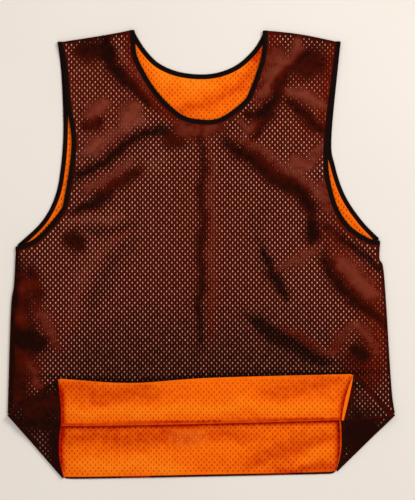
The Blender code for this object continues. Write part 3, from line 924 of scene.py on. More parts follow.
    def border(self, corners: Points, rim: Values, start: int, centre: Points, share: Values) -> Values:
        """The plain cloth between the outermost cells and the outline, round the holes that fit there.

        Args:
            corners: the places that the cells' rims share.
            rim: indices of each cell's six of them.
            start: index of the outline's first place.
            centre: middles of the holes that fit there.
            share: how far each is open.

        Returns:
            Three indices for each triangle.
        """
        edges = []
        for k, (dc, dr) in enumerate(self.NEIGHBOURS):
            alone = ~np.isin(self.code(self.column + dc, self.row + dr), self.known)
            edges.append(rim[alone][:, (k, (k + 1) % 6)])
        edges = np.vstack(edges)
        used, local = np.unique(edges, return_inverse=True)
        n, m = len(used), len(self.outline)
        places = np.vstack([corners[used], self.outline, self.rings(centre, share).reshape(-1, 2)])
        around = n + np.column_stack([np.arange(m), (np.arange(m) + 1) % m])
        loops = n + m + np.arange(6 * len(centre)).reshape(-1, 6)
        loops = np.stack([loops, np.roll(loops, -1, axis=1)], axis=2).reshape(-1, 2)
        lines = np.vstack([local.reshape(-1, 2), around, loops])
        made = delaunay_2d_cdt([Vector(p) for p in places], lines.tolist(), [], 0, 1e-6)
        source = np.array([old[0] for old in made[3]])
        triangles = source[np.array(made[2])]
        middle = places[triangles].mean(1)
        row = np.round(middle[:, 1] / self.net.pitch_y).astype(int)
        odd = row % 2
        column = 2 * np.round((middle[:, 0] / (self.net.pitch_x / 2) - odd) / 2).astype(int) + odd
        keep = inside(self.outline, middle) & ~np.isin(self.code(column, row), self.known)
        keep &= ~self.in_rings(middle, centre, share)
        target = np.concatenate([used, start + np.arange(m + 6 * len(centre))])
        return target[triangles[keep]]


class Plan:
    """The edges of the front or the back seen from above, each as a row of places that its neighbours share.

    The corner folds' width is a share of the way from the side to the neck's edge at a chosen height, and
    their places are counted as shares of that width.
    """

    STEP = 4.0
    WIDTH_SHARE = 0.351
    NECK_HEIGHT = {Side.FRONT: 234.0, Side.BACK: 286.0}
    SHARES = np.linspace(0.12, 1, 24)
    # how many places the crease, a side, a shoulder, the hem and a corner fold's hem have
    CREASE, SIDE, SHOULDER, HEM, FOLD_HEM = 150, 68, 26, 108, 20
    # front and back stay apart by twice this along the crease of a corner fold, whose tip lies a little in
    MEETING = 0.03
    TIP_IN = 1.0
    # the back's corner folds come down from the crease onto the back over this length
    FALL_START, FALL = 5.0, 30.0

    def __init__(self, side: Side) -> None:
        """Works out the edges from the outline's tables.

        Args:
            side: front or back.
        """
        table, reach, room = Outline(), STACK.reach, STACK.edge_room
        self.side = side
        self.up = 1 if side is Side.FRONT else -1
        self.table = table
        self.creased = smooth_curve(table.crease)
        self.hem = smooth_curve(table.hem[side])
        self.shoulders = (smooth_curve(table.shoulder_left), smooth_curve(table.shoulder_right))
        self.sides = (smooth_curve(table.side_left), smooth_curve(table.side_right))
        neck = moved_aside(smooth_curve(table.neck[side]), -reach)
        arms = (moved_aside(smooth_curve(table.armhole_left[side]), reach),
                moved_aside(smooth_curve(table.armhole_right[side]), -reach))
        low = table.crease[0][1] + room
        self.ends_x = (x_at(self.sides[0], low) + room, x_at(self.sides[1], low) - room)
        deepest = neck[:, 1].argmin()
        self.neck_x = [x_at(part, self.NECK_HEIGHT[side]) for part in (neck[: deepest + 1], neck[deepest:])]
        x = np.linspace(*[self.corner_x(hand, self.SHARES[0]) for hand, _ in HANDS], self.CREASE)
        self.fold = np.column_stack([x, y_at(self.creased, x) + room])
        self.side_line = [self.side_places(hand, low) for hand, _ in HANDS]
        self.shoulder_line = [self.shoulder_places(hand, sign) for hand, sign in HANDS]
        self.arm_line = [self.arm_places(arms[hand], hand) for hand, _ in HANDS]
        left, right = (line[-1] for line in self.shoulder_line)
        low_neck = neck[neck[:, 1] < min(left[1], right[1]) - 2]
        self.neck_line = spaced(np.vstack([left, low_neck, right]), self.STEP)

    def corner_x(self, hand: int, share: Values | float) -> Values | float:
        """x on the crease at a share of the corner fold's width, measured from the side."""
        return self.ends_x[hand] + (self.neck_x[hand] - self.ends_x[hand]) * self.WIDTH_SHARE * share

    def side_places(self, hand: int, low: float) -> Points:
        """A side, from the crease up to the armpit.

        Args:
            hand: 0 at the left and 1 at the right.
            low: the height at which it starts.

        Returns:
            Its places.
        """
        t = np.linspace(0, 1, self.SIDE)
        pit = self.table.pit[hand]
        x = x_at(self.sides[hand], low + t * (pit - low)) + (1, -1)[hand] * STACK.edge_room
        start = y_at(self.creased, x[0]) + STACK.edge_room
        return np.column_stack([x, start + t * (pit - start)])

    def shoulder_places(self, hand: int, sign: int) -> Points:
        """A shoulder, from the armhole to the neck.

        Args:
            hand: 0 at the left and 1 at the right.
            sign: the sign of x outward.

        Returns:
            Its places.
        """
        line = self.shoulders[hand]
        outer, inner = line[:: -sign][[0, -1], 0]
        x = np.linspace(outer - sign * STACK.reach, inner + sign * STACK.reach, self.SHOULDER)
        return np.column_stack([x, y_at(line, x) - STACK.edge_room])

    def arm_places(self, arm: Points, hand: int) -> Points:
        """An armhole, from the armpit up to the shoulder.

        Args:
            arm: the cloth's edge beside its binding, from the shoulder down.
            hand: 0 at the left and 1 at the right.

        Returns:
            Its places.
        """
        arm = arm[::-1]
        start, end = self.side_line[hand][-1], self.shoulder_line[hand][0]
        keep = (arm[:, 1] > start[1] + 0.5) & (arm[:, 1] < end[1] - 2)
        return spaced(np.vstack([start, arm[keep], end]), self.STEP)

    def around(self) -> Points:
        """The edge from the right end of the crease over the shoulders to its left end.

        Returns:
            Its places.
        """
        left, right = ((self.side_line[k], self.arm_line[k], self.shoulder_line[k]) for k, _ in HANDS)
        parts = (*right, self.neck_line[::-1], *(line[::-1] for line in left[::-1]))
        return np.vstack([parts[0]] + [line[1:] for line in parts[1:]])

    def body(self) -> Points:
        """The front's flat part, above the crease."""
        return np.vstack([self.fold, self.around()])

    def corner_line(self, hand: int) -> tuple:
        """The slanting fold of a corner.

        Args:
            hand: 0 at the left and 1 at the right.

        Returns:
            Places where its turn starts, its direction outward, and how far the fold lies beyond each.
        """
        tip = np.array(self.table.crease[-hand], float)
        hem = np.array(self.table.hem[self.side][-hand], float)
        edge = tip + self.SHARES[:, None] * (hem - tip)
        along = (hem - tip) / np.linalg.norm(hem - tip)
        outward = np.array([-along[1], along[0]])
        outward *= self.up * np.sign(outward[1])
        room = np.full(len(edge), STACK.edge_room)
        if self.side is Side.BACK:
            crease = y_at(self.creased, self.corner_x(hand, self.SHARES))
            fall = eased((crease - edge[:, 1] - self.FALL_START) / self.FALL)
            levels = LEVELS[self.side, Cloth.OUTER]
            raised, settled, body = (STACK.level(n) for n in (levels.corner, levels.settled, levels.body))
            high = raised + fall * (settled - raised)
            room = (high - body) / 2 + STACK.wall / 2
        return edge - outward * room[:, None], outward, room

    def plate(self, hand: int, back: float, bow: float) -> tuple:
        """The plate of a corner fold, between the side seam and the slanting fold.

        Args:
            hand: 0 at the left and 1 at the right.
            back: how far its hem stands back.
            bow: how far its hem bows sideways.

        Returns:
            Its outline, and its hem edge.
        """
        sign = (-1, 1)[hand]
        turn, _, _ = self.corner_line(hand)
        x = self.corner_x(hand, self.SHARES)
        seam_y = y_at(self.creased, x) + self.up * self.MEETING
        seam = np.column_stack([x + self.SHARES * sign * back, seam_y])
        start = np.array([x[-1], seam_y[-1]])
        t = np.linspace(0, 1, self.FOLD_HEM)[:, None]
        hem = start + t * (turn[-1] - start)
        hem[:, 0] += (bow * np.sin(math.pi * t) + sign * back * (1 - t**4))[:, 0]
        return np.vstack([self.tip(hand), seam, hem[1:-1], turn[::-1]]), hem

    def tip(self, hand: int) -> Points:
        """The outermost place of a corner fold."""
        x, y = self.table.crease[-hand]
        return np.array([x + (1, -1)[hand] * self.TIP_IN, y + self.up * self.MEETING])

    def hem_line(self, back: float) -> Points:
        """The hem between the two corner folds, from left to right.

        Args:
            back: how far it stands back.

        Returns:
            Its places.
        """
        start, end = self.corner_line(0)[0][-1], self.corner_line(1)[0][-1]
        x = np.linspace(start[0], end[0], self.HEM)[1:-1]
        line = np.column_stack([x, y_at(self.hem, x) - self.up * back])
        return np.vstack([start, line, end])


@dataclass(frozen=True)
class HemCut:
    """How far the hem edges of one kind of cloth stand back.

    Args:
        hem: on the front and the back, between the corners.
        corner: on the plates, left and right, front and back.
        bow: sideways bow of the plates' hems, left and right.
    """

    hem: dict
    corner: dict
    bow: dict

    def plate(self, plan: Plan, hand: int) -> tuple:
        """The outline and the hem edge of a corner fold of this cloth."""
        return plan.plate(hand, self.corner[plan.side][hand], self.bow[plan.side][hand])


HEMS = {
    Cloth.OUTER: HemCut({Side.FRONT: 1.0, Side.BACK: 0.0}, {Side.FRONT: (2.0, 1.8), Side.BACK: (2.0, 2.8)},
                        {Side.FRONT: (2.6, 0.0), Side.BACK: (-4.6, 3.6)}),
    Cloth.INNER: HemCut({Side.FRONT: 0.0, Side.BACK: 3.4}, {Side.FRONT: (0.6, -1.6), Side.BACK: (0.6, 0.6)},
                        {Side.FRONT: (2.6, -2.4), Side.BACK: (-4.6, 3.6)}),
}


class SewnPiece:
    """What all pieces of the bib share: a node of the record that they stand for, and a finish."""

    node: str
    finish: "ClothFinish | BandFinish"

    def dress(self, made: bpy.types.Object, material: bpy.types.Material) -> None:
        """Gives a piece its finish and ties it to the frame.

        Args:
            made: the piece.
            material: the material of its finish.
        """
        made.data.materials.append(material)
        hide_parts(self.node)
        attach(made, "root")
        LOG.info("%s: %d faces", made.name, len(made.data.polygons))


@dataclass
class ClothLayer(SewnPiece):
    """One of the bib's four layers of cloth, from its shoulders to its hem and corner folds.

    Args:
        side: front or back.
        cloth: outer or inner.
        turn_steps: how many steps a half turn has.
        curl_steps: how many rows of places the quarter turn at a sewn edge has.
        wide_turn: how far the outer one of two turned layers reaches past the start of its turn.
        tight_turn: the same for the one inside it.
        edge_step: distance between the places of an edge, where only distances to it are needed.
        plate_step: the same beside the corner folds.
        held_above: the y down to which the front's folds reach, just above the hem that lies on it.
        hem_turn_shade: painted shade where the crease's turn starts, and what is added to it along the turn.
        curl_shade: painted shade where the quarter turn at a sewn edge starts and ends.
        inner_turn_shade: painted shade of the inner cloth's turn at a corner fold.
        tip_shade: painted shade at the outermost place of a corner fold.
        lip: how far inside a corner fold's outer hem its shade starts, and over how much more it is full.
    """

    side: Side
    cloth: Cloth
    turn_steps: int = 8
    curl_steps: int = 6
    wide_turn: float = 2.4
    tight_turn: float = 1.5
    edge_step: float = 8.0
    plate_step: float = 6.0
    held_above: float = -176.0
    hem_turn_shade: tuple = (-0.45, -0.55)
    curl_shade: tuple = (-0.5, -1.0)
    inner_turn_shade: float = -0.2
    tip_shade: float = -0.6
    lip: float = 3.0

    def __post_init__(self) -> None:
        """Works out names, heights and edges."""
        self.plan = Plan(self.side)
        self.node = f"{self.side.value}_{self.cloth.value}"
        self.name = f"cloth_{self.node}"
        self.finish = FINISHES[self.side, self.cloth]
        levels = LEVELS[self.side, self.cloth]
        self.z_body = self.height(levels.body)
        self.z_flap = self.height(levels.flap)
        self.z_corner = self.height(levels.corner)
        self.z_settled = self.height(levels.settled)
        self.cut = HEMS[self.cloth]
        self.net = NETS[self.side, self.cloth]
        self.surface = Surface()

    def height(self, level: int) -> float:
        """Height of this layer at a level, moved towards the layer that it touches."""
        return STACK.level(level) + (STACK.nestle if level % 2 == 0 else -STACK.nestle)

    def plates(self) -> list:
        """Outlines of the two corner folds, without what stands back or bows."""
        return [self.plan.plate(hand, 0.0, 0.0)[0] for hand, _ in HANDS]

    def front_relief(self) -> tuple:
        """The relief of the front's body.

        Returns:
            The relief, and a function from places to their distance from the nearest held edge.
        """
        rim = spaced(closed(self.plan.body()), self.edge_step)

        def room(xy: Points) -> Values:
            """Distance from the front's edges, or from the hem that lies on it."""
            return np.minimum(path_distance(xy, rim)[0], xy[:, 1] - self.held_above)

        return Relief(FRONT_CREASES + self.edge_shade_lines(), FRONT_PUFF), room

    def hem_relief(self) -> tuple:
        """The relief of the front's folded hem.

        Returns:
            The relief, and a function from places to their distance from the nearest held edge.
        """
        plates = self.plates()
        lines = [spaced(self.plan.fold, self.edge_step)] + [spaced(p, self.plate_step) for p in plates]
        relief = Relief(FLAP_CREASES + self.hem_lines(), puff=0.7, fade=14.0)
        return relief, room_beside(lines, plates)

    def back_relief(self) -> tuple:
        """The relief of the back.

        Returns:
            The relief, and a function from places to their distance from the nearest held edge.
        """
        plates, body = self.plates(), Plan(Side.FRONT).body()
        lines = [spaced(closed(body), self.edge_step), spaced(self.plan.neck_line, self.edge_step)]
        lines += [spaced(plate, self.plate_step) for plate in plates]
        relief = Relief(BACK_CREASES + self.hem_lines(), puff=0.5, fade=14.0)
        return relief, room_beside(lines, [*plates, body])

    def edge_shade_lines(self) -> tuple:
        """The painted shade along the front's sides and shoulders, and the painted shadow of the hem that
        lies on it, just above its edge.

        Returns:
            A crease for each.
        """
        plan = self.plan
        looks = ((plan.side_line[0], 5.0, -1.0, 0.5), (plan.side_line[1], 2.6, -0.7, 0.0),
                 (plan.shoulder_line[0], 4.0, -0.6, 0.0), (plan.shoulder_line[1], 4.0, -0.6, 0.0))
        lines = [flat_band(thinned(line, 6), *look) for line, *look in looks]
        # painted shadow of the folded hem on the body, just above its edge
        hem = tuple((x, y + 2.0) for x, y in plan.table.hem[Side.FRONT])
        return (*lines, flat_band(hem, 3.6, -0.9))

    def hem_lines(self) -> tuple:
        """The plain hem, which has no holes and on the back a little painted shade, and the painted shadows
        beside the crease and the corner folds.

        Returns:
            A crease for each.
        """
        table, front = self.plan.table, self.side is Side.FRONT
        crease = tuple((x, y + (2.6 if front else -1.2)) for x, y in table.crease)
        hem = flat_band(table.hem[self.side], 4.5, 0.0 if front else -0.25, 1.0)
        return (*self.plate_shadow_lines(), hem, flat_band(crease, 2.4 if front else 4.6, -1.0))

    def plate_shadow_lines(self) -> tuple:
        """The painted shadows beside the corner folds' hems.

        Returns:
            A crease for each.
        """
        made = []
        for hand, sign in HANDS:
            _, hem = HEMS[Cloth.INNER].plate(self.plan, hand)
            path = tuple((x - sign * 1.4, y) for x, y in hem[::4])
            made.append(flat_band(path, 4.4, -1.0))
        return tuple(made)

    def lay(self, outline: Points, relief: Relief, room: Field, base: Field | float,
            under: Field | float = 0.0, offset: Field | float = 0.0) -> None:
        """Adds a stretch of mesh.

        Args:
            outline: its polygon.
            relief: its creases.
            room: a function from places to their distance from the nearest held edge.
            base: its height without creases, as a number or a function of places.
            under: how far other cloth hides it, as a number or a function of places.
            offset: painted light and shade added to the tone, as a number or a function of places.
        """
        patch = NetPatch(outline, self.net, lambda xy: relief.at(xy, room(xy))[2])
        height, tone, _ = relief.at(patch.xy, room(patch.xy))
        points = np.column_stack([patch.xy, values_at(base, patch.xy) + height])
        tone = tone + values_at(offset, patch.xy) - self.net.hole_edge_shade * patch.rim
        self.surface.add(points, patch.faces, tone, values_at(under, patch.xy))

    def turn(self, places: Points, outward: Points | tuple, high: Values | float, low: Values | float,
             out: Values | float) -> Points:
        """A half turn of the cloth, on a grid of its angle and the places.

        It is places + outward * out * cos t, at heights from high to low by sin t, for t from 90 to -90
        degrees.

        Args:
            places: where it starts and ends, seen from above.
            outward: its direction outward, one for all or one for each place.
            high: height at which it starts.
            low: height at which it ends.
            out: how far it reaches outward.

        Returns:
            The grid, of shape (steps + 1, places, 3).
        """
        t = np.linspace(math.pi / 2, -math.pi / 2, self.turn_steps + 1)[:, None]
        high, low, out = (np.broadcast_to(v, len(places)) for v in (high, low, out))
        push = out * np.cos(t)
        ways = np.broadcast_to(outward, (len(places), 2))
        x = places[:, 0] + ways[:, 0] * push
        y = places[:, 1] + ways[:, 1] * push
        z = (high + low) / 2 + (high - low) / 2 * np.sin(t)
        z[0], z[-1] = high, low
        x[0], x[-1], y[0], y[-1] = places[:, 0], places[:, 0], places[:, 1], places[:, 1]
        return np.stack([x, y, z], axis=2)

    def edge_curl(self, places: Points, outward: tuple) -> None:
        """The quarter turn by which an outer layer meets its other half at a side or a shoulder.

        It is places + outward * push * sin t, at heights from the body's to the seam's by cos t, for t from 0
        to 90 degrees.

        Args:
            places: where it starts, seen from above.
            outward: its direction outward.
        """
        if self.cloth is Cloth.INNER:
            return
        sign = 1 if self.side is Side.FRONT else -1
        end = STACK.middle + sign * STACK.seam_gap / 2
        t = np.linspace(0, math.pi / 2, self.curl_steps)[:, None]
        push = (STACK.edge_room - STACK.wall / 2) * np.sin(t)
        x = places[:, 0] + outward[0] * push
        y = places[:, 1] + outward[1] * push
        z = end + (self.z_body - end) * np.cos(t) + 0 * x
        z[0] = self.z_body
        self.surface.strip(np.stack([x, y, z], axis=2), np.linspace(*self.curl_shade, self.curl_steps))

    def plate_height(self, xy: Points) -> Values:
        """Height of a corner fold, where the back's comes down from the crease onto the back.

        Args:
            xy: places, one per row.

        Returns:
            A height for each.
        """
        if self.side is Side.FRONT:
            return np.full(len(xy), self.z_corner)
        drop = eased((y_at(self.plan.creased, xy[:, 0]) - xy[:, 1]) / self.plan.FALL)
        return self.z_corner + (self.z_settled - self.z_corner) * drop

    def build(self, material: bpy.types.Material) -> bpy.types.Object:
        """Makes and dresses the layer.

        Args:
            material: the material of its finish.

        Returns:
            The piece.
        """
        if self.side is Side.BACK:
            self.back_body()
        else:
            self.front_body()
            self.front_hem()
        for hand, sign in HANDS:
            self.corner(hand)
            self.edge_curl(self.plan.side_line[hand], (sign, 0))
            self.edge_curl(self.plan.shoulder_line[hand], (0, 1))
        # these two lie with the good side of their cloth up
        made = self.surface.build(self.name, self.node in ("front_outer", "back_inner"))
        self.dress(made, material)
        return made

    def front_body(self) -> None:
        """The front above the crease. Red zones bare the cloth beneath and put painted shade on it, and
        lighten the cloth on top a little.
        """
        if self.cloth is Cloth.INNER:
            self.lay(self.plan.body(), *self.front_relief(), self.z_body,
                     lambda xy: 1 - RED_BARES * red_share(xy), lambda xy: -RED_PAINTED_SHADE * red_share(xy))
        else:
            self.lay(self.plan.body(), *self.front_relief(), self.z_body,
                     lambda xy: RED_TRACE * red_share(xy))

    def front_hem(self) -> None:
        """The hem folded up over the body, and its crease."""
        plan = self.plan
        hem = plan.hem_line(self.cut.hem[self.side])
        left, right = plan.corner_line(0)[0], plan.corner_line(1)[0]
        outline = np.vstack([plan.fold, right, hem[::-1][1:-1], left[::-1]])
        covered = 1.0 if self.cloth is Cloth.OUTER else 0.0
        self.lay(outline, *self.hem_relief(), self.z_flap, covered)
        out = self.tight_turn if self.cloth is Cloth.OUTER else self.wide_turn
        tone = self.hem_turn_shade[0] + self.hem_turn_shade[1] * np.linspace(0, 1, self.turn_steps + 1)
        self.surface.strip(self.turn(plan.fold, (0, -1), self.z_flap, self.z_body, out), tone, covered)

    def back_body(self) -> None:
        """The back and its hem, in one stretch."""
        plan = self.plan
        hem = plan.hem_line(self.cut.hem[self.side])
        left, right = plan.corner_line(0)[0], plan.corner_line(1)[0]
        outline = np.vstack([plan.tip(0), left, hem[1:-1], right[::-1], plan.tip(1), plan.around()])
        covered, offset = 0.0, 0.0
        if self.cloth is Cloth.OUTER:
            edge = plan.hem_line(HEMS[Cloth.INNER].hem[self.side] + 0.6)
            first, last = edge[0, 0], edge[-1, 0]

            def covered(xy: Points) -> Values:
                """1 where the inner cloth hides the outer one, and 0 at the hem's edge, which shows."""
                return 1.0 * ((xy[:, 1] > y_at(edge, xy[:, 0])) & (xy[:, 0] > first) & (xy[:, 0] < last))

            def offset(xy: Points) -> Values:
                """Painted light at the pale spot, and painted shade wherever covered."""
                return PAINTED_LIGHT_TONE * stroke(xy, PAINTED_LIGHT_PATH, PAINTED_LIGHT_WIDTH) - 0.4 * covered(xy)

        self.lay(outline, *self.back_relief(), self.z_body, covered, offset)

    def corner(self, hand: int) -> None:
        """A corner fold: its plate, its turn and, on the outer cloth, its tip.

        Args:
            hand: 0 at the left and 1 at the right.
        """
        plan, outer, sign = self.plan, self.cloth is Cloth.OUTER, HANDS[hand][1]
        outline, _ = self.cut.plate(plan, hand)
        _, edge = HEMS[Cloth.OUTER].plate(plan, hand)
        places, outward, beyond = plan.corner_line(hand)
        held = spaced(places, self.plate_step)
        # painted shade of this corner fold
        tone = PLATE_SHADE[self.side, hand]

        def room(xy: Points) -> Values:
            """Distance from the slanting fold and from the crease."""
            return np.minimum(path_distance(xy, held)[0], np.abs(y_at(plan.creased, xy[:, 0]) - xy[:, 1]))

        def covered(xy: Points) -> Values:
            """1 where the outer cloth hides the inner one, and 0 at its hem, which shows."""
            return eased((sign * (xy[:, 0] - x_at(edge, xy[:, 1])) - self.lip) / self.lip)

        def shaded(xy: Points) -> Values:
            """The fold's painted shade where covered, and the hem edge's own painted light and shade where it
            shows.
            """
            return covered(xy) * tone + (1 - covered(xy)) * LIP_LIGHT_AND_SHADE[self.side, hand]

        hem = flat_band(thinned(edge, 4), 7.0, 0.0, 1.0)
        relief = Relief((*PLATE_CREASES, hem), puff=0.5, fade=10.0)
        if outer:
            self.lay(outline, relief, room, self.plate_height, 0.0, tone)
        else:
            self.lay(outline[1:], relief, room, self.plate_height, covered, shaded)
        low = self.z_flap if self.side is Side.FRONT else self.z_body
        if self.side is Side.FRONT:
            out = self.wide_turn if outer else self.tight_turn
        else:
            out = beyond - 0.2 if outer else np.maximum(beyond - 1.2, 0.8)
        rows = self.turn(places, outward, self.plate_height(places), low, out)
        self.surface.strip(rows, tone if outer else self.inner_turn_shade)
        if outer:
            self.corner_tip(plan.tip(hand), rows[:, 0], low)

    def corner_tip(self, tip: Points, arc: Points, low: float) -> None:
        """Closes the outermost end of a corner fold.

        Args:
            tip: its outermost place, seen from above.
            arc: the first arc of the fold's turn.
            low: height of the cloth beneath.
        """
        middle = self.turn_steps // 2
        top = np.array([*tip, self.plate_height(tip[None])[0]])
        self.surface.fan(top, arc[: middle + 1], self.tip_shade)
        if self.side is Side.BACK:
            bottom = np.array([*tip, low])
            self.surface.fan(bottom, arc[middle:], self.tip_shade)
            self.surface.fan(top, np.array([arc[middle], bottom]), self.tip_shade)


@dataclass
class Binding(SewnPiece):
    """A rounded band round the neck or an armhole: along the front edge and back along the other.

    Args:
        node: its node's name.
        front: the front cloth's edge.
        back: the back cloth's edge, in the same direction.
        ends: the directions outward at the first and the last place.
        across: the directions into the opening at the first and the last place.
        opening: 1 where the opening is to the left of the edge's direction, or -1.
        step: distance between the sections.
        bend: length at each end over which the band turns into the direction across.
        lap: how far the band reaches back over the cloth's edge.
        thick: half its thickness.
        sides: how many places a section has.
        cap: how many places the way round each end has, from front to back.
    """

    node: str
    front: Points
    back: Points
    ends: tuple
    across: tuple
    opening: int
    step: float = 2.4
    bend: float = 9.0
    lap: float = 0.5
    thick: float = 1.12
    sides: int = 14
    cap: int = 8

    def __post_init__(self) -> None:
        """Takes its finish."""
        self.finish = BINDING

    def normals(self, edge: Points) -> Points:
        """Directions from the cloth's edge into the opening, turned to the given ones at the ends.

        Args:
            edge: the cloth's edge.

        Returns:
            A direction of length 1 for each place.
        """
        along = np.gradient(edge, axis=0)
        normal = self.opening * np.column_stack([-along[:, 1], along[:, 0]])
        normal /= np.linalg.norm(normal, axis=1)[:, None]
        at = length_along(edge)
        for near, towards in zip((at, at[-1] - at), self.across):
            share = eased(1 - near / self.bend)[:, None]
            normal = normal * (1 - share) + np.array(towards) * share
        return normal / np.linalg.norm(normal, axis=1)[:, None]

    def frames(self) -> tuple:
        """The middle line all round the loop: along the front, round the end, back behind it and round again.

        Returns:
            Its places, the directions across the band and the directions out of its face.
        """
        front, back = spaced(self.front, self.step), spaced(self.back, self.step)[::-1]
        rise, middle = STACK.pitch, STACK.middle
        place = [np.column_stack([front, np.full(len(front), middle + rise)])]
        face = [np.tile((0.0, 0.0, 1.0), (len(front), 1))]
        wide = [self.normals(front)]
        for here, there, outward, start, way in (
            (front[-1], back[0], self.ends[1], 1, self.across[1]),
            (back[-1], front[0], self.ends[0], -1, self.across[0])):
            t = np.linspace(0, math.pi, self.cap)[1:-1, None]
            plan = here + (there - here) * t / math.pi + np.array(outward) * rise * np.sin(t)
            place.append(np.column_stack([plan, middle + start * rise * np.cos(t)]))
            face.append(np.hstack([np.array(outward) * np.sin(t), start * np.cos(t)]))
            wide.append(np.tile(way, (len(t), 1)))
            if start == 1:
                place.append(np.column_stack([back, np.full(len(back), middle - rise)]))
                face.append(np.tile((0.0, 0.0, -1.0), (len(back), 1)))
                wide.append(self.normals(back[::-1])[::-1])
        wide = np.vstack(wide)
        return np.vstack(place), np.column_stack([wide, np.zeros(len(wide))]), np.vstack(face)

    def build(self, material: bpy.types.Material) -> bpy.types.Object:
        """Carries a rounded section along the frames, and dresses the band.

        The section is c + (a |cos t|^p, b |sin t|^p) with its signs, and p under 1 makes it full.

        Args:
            material: the material of its finish.

        Returns:
            The piece.
        """
        place, wide, face = self.frames()
        t = np.linspace(0, 2 * math.pi, self.sides, endpoint=False)
        middle, half = (STACK.reach - self.lap) / 2, (STACK.reach + self.lap) / 2
        u = middle + half * np.sign(np.cos(t)) * np.abs(np.cos(t)) ** 0.55
        v = self.thick * np.sign(np.sin(t)) * np.abs(np.sin(t)) ** 0.7
        rings = place[:, None] + wide[:, None] * u[:, None] + face[:, None] * v[:, None]
        n, m = rings.shape[:2]
        i, j = (x.ravel() for x in np.meshgrid(np.arange(n), np.arange(m), indexing="ij"))
        corners = [(i, j), (i, j + 1), (i + 1, j + 1), (i + 1, j)]
        quads = np.column_stack([(r % n) * m + c % m for r, c in corners])
        mesh = bpy.data.meshes.new(self.node)
        mesh.from_pydata(in_frame(rings.reshape(-1, 3)).tolist(), [], quads.tolist())
        length, girth = length_along(closed(place)), np.append(u, u[0])
        uv = np.stack([np.column_stack([girth[c], length[r]]) for r, c in corners], axis=1)
        mesh.uv_layers.new(name="cloth").data.foreach_set("uv", (uv * MM).astype(np.float32).ravel())
        turn_faces(mesh)
        made = linked(f"{self.node}_band", mesh)
        self.dress(made, material)
        return made


def srgb(r: float, g: float, b: float) -> tuple:
    """A colour of 0 to 255 values as the linear one that a shader takes.

    Each value v is divided by 255, and is then ((v + 0.055) / 1.055)^2.4, or v / 12.92 where it is small.

    Args:
        r: red.
        g: green.
        b: blue.

    Returns:
        The colour, with an alpha of 1.
    """
    values = [v / 255 for v in (r, g, b)]
    return tuple(v / 12.92 if v <= 0.04045 else ((v + 0.055) / 1.055) ** 2.4 for v in values) + (1.0,)


# what goes into an input of a node: an output, a number or a colour
Wire = bpy.types.NodeSocket | float | tuple


class Nodes:
    """Adds and joins the nodes of one tree."""

    def __init__(self, tree: bpy.types.NodeTree) -> None:
        """Takes the tree to which the nodes are added."""
        self.tree = tree

    def add(self, kind: str, inputs: dict | None = None, **settings: object) -> bpy.types.Node:
        """A new node.

        Args:
            kind: its type.
            inputs: a value to set or an output to join, by the input's name or number.
            settings: its other settings, by name.

        Returns:
            The node.
        """
        node = self.tree.nodes.new(kind)
        for label, value in settings.items():
            setattr(node, label, value)
        self.fill(node, inputs or {})
        return node

    def fill(self, node: bpy.types.Node, inputs: dict) -> None:
        """Sets or joins a node's inputs.

        Args:
            node: the node.
            inputs: a value to set or an output to join, by the input's name or number.
        """
        for label, value in inputs.items():
            if isinstance(value, bpy.types.NodeSocket):
                self.tree.links.new(value, node.inputs[label])
            else:
                node.inputs[label].default_value = value

    def join(self, output: bpy.types.NodeSocket, node: bpy.types.Node, label: str) -> None:
        """Joins an output to an input of a node."""
        self.tree.links.new(output, node.inputs[label])

    def maths(self, operation: str, a: Wire, b: Wire = 0.0, c: Wire = 0.0,
              clamp: bool = False) -> bpy.types.NodeSocket:
        """A sum, product or other operation on numbers or outputs."""
        node = self.add("ShaderNodeMath", {0: a, 1: b, 2: c}, operation=operation, use_clamp=clamp)
        return node.outputs[0]

    def mixed(self, share: Wire, a: Wire, b: Wire) -> bpy.types.NodeSocket:
        """Colour a turned into colour b by a share."""
        node = self.add("ShaderNodeMix", {0: share, 6: a, 7: b}, data_type="RGBA")
        return node.outputs[2]


def new_material(name: str, roughness: float, specular: float, sheen: float = 0.0) -> tuple:
    """A material whose Principled shader has its plain values.

    Args:
        name: its name.
        roughness: its roughness.
        specular: its specular level.
        sheen: its sheen weight.

    Returns:
        The material, the helper for its nodes and its shader.
    """
    made = bpy.data.materials.new(name)
    made.use_nodes = True
    shader = made.node_tree.nodes["Principled BSDF"]
    values = {"Roughness": roughness, "Specular IOR Level": specular, "Sheen Weight": sheen}
    for label, value in values.items():
        shader.inputs[label].default_value = value
    return made, Nodes(made.node_tree), shader


def new_group(name: str, inputs: dict, outputs: dict) -> tuple:
    """An empty node group with named sockets.

    Args:
        name: its name.
        inputs: socket types by name.
        outputs: socket types by name.

    Returns:
        The group, its helper, its input node and its output node.
    """
    group = bpy.data.node_groups.new(name, "ShaderNodeTree")
    for label, kind in inputs.items():
        group.interface.new_socket(label, in_out="INPUT", socket_type=kind)
    for label, kind in outputs.items():
        group.interface.new_socket(label, in_out="OUTPUT", socket_type=kind)
    nodes = Nodes(group)
    return group, nodes, nodes.add("NodeGroupInput"), nodes.add("NodeGroupOutput")


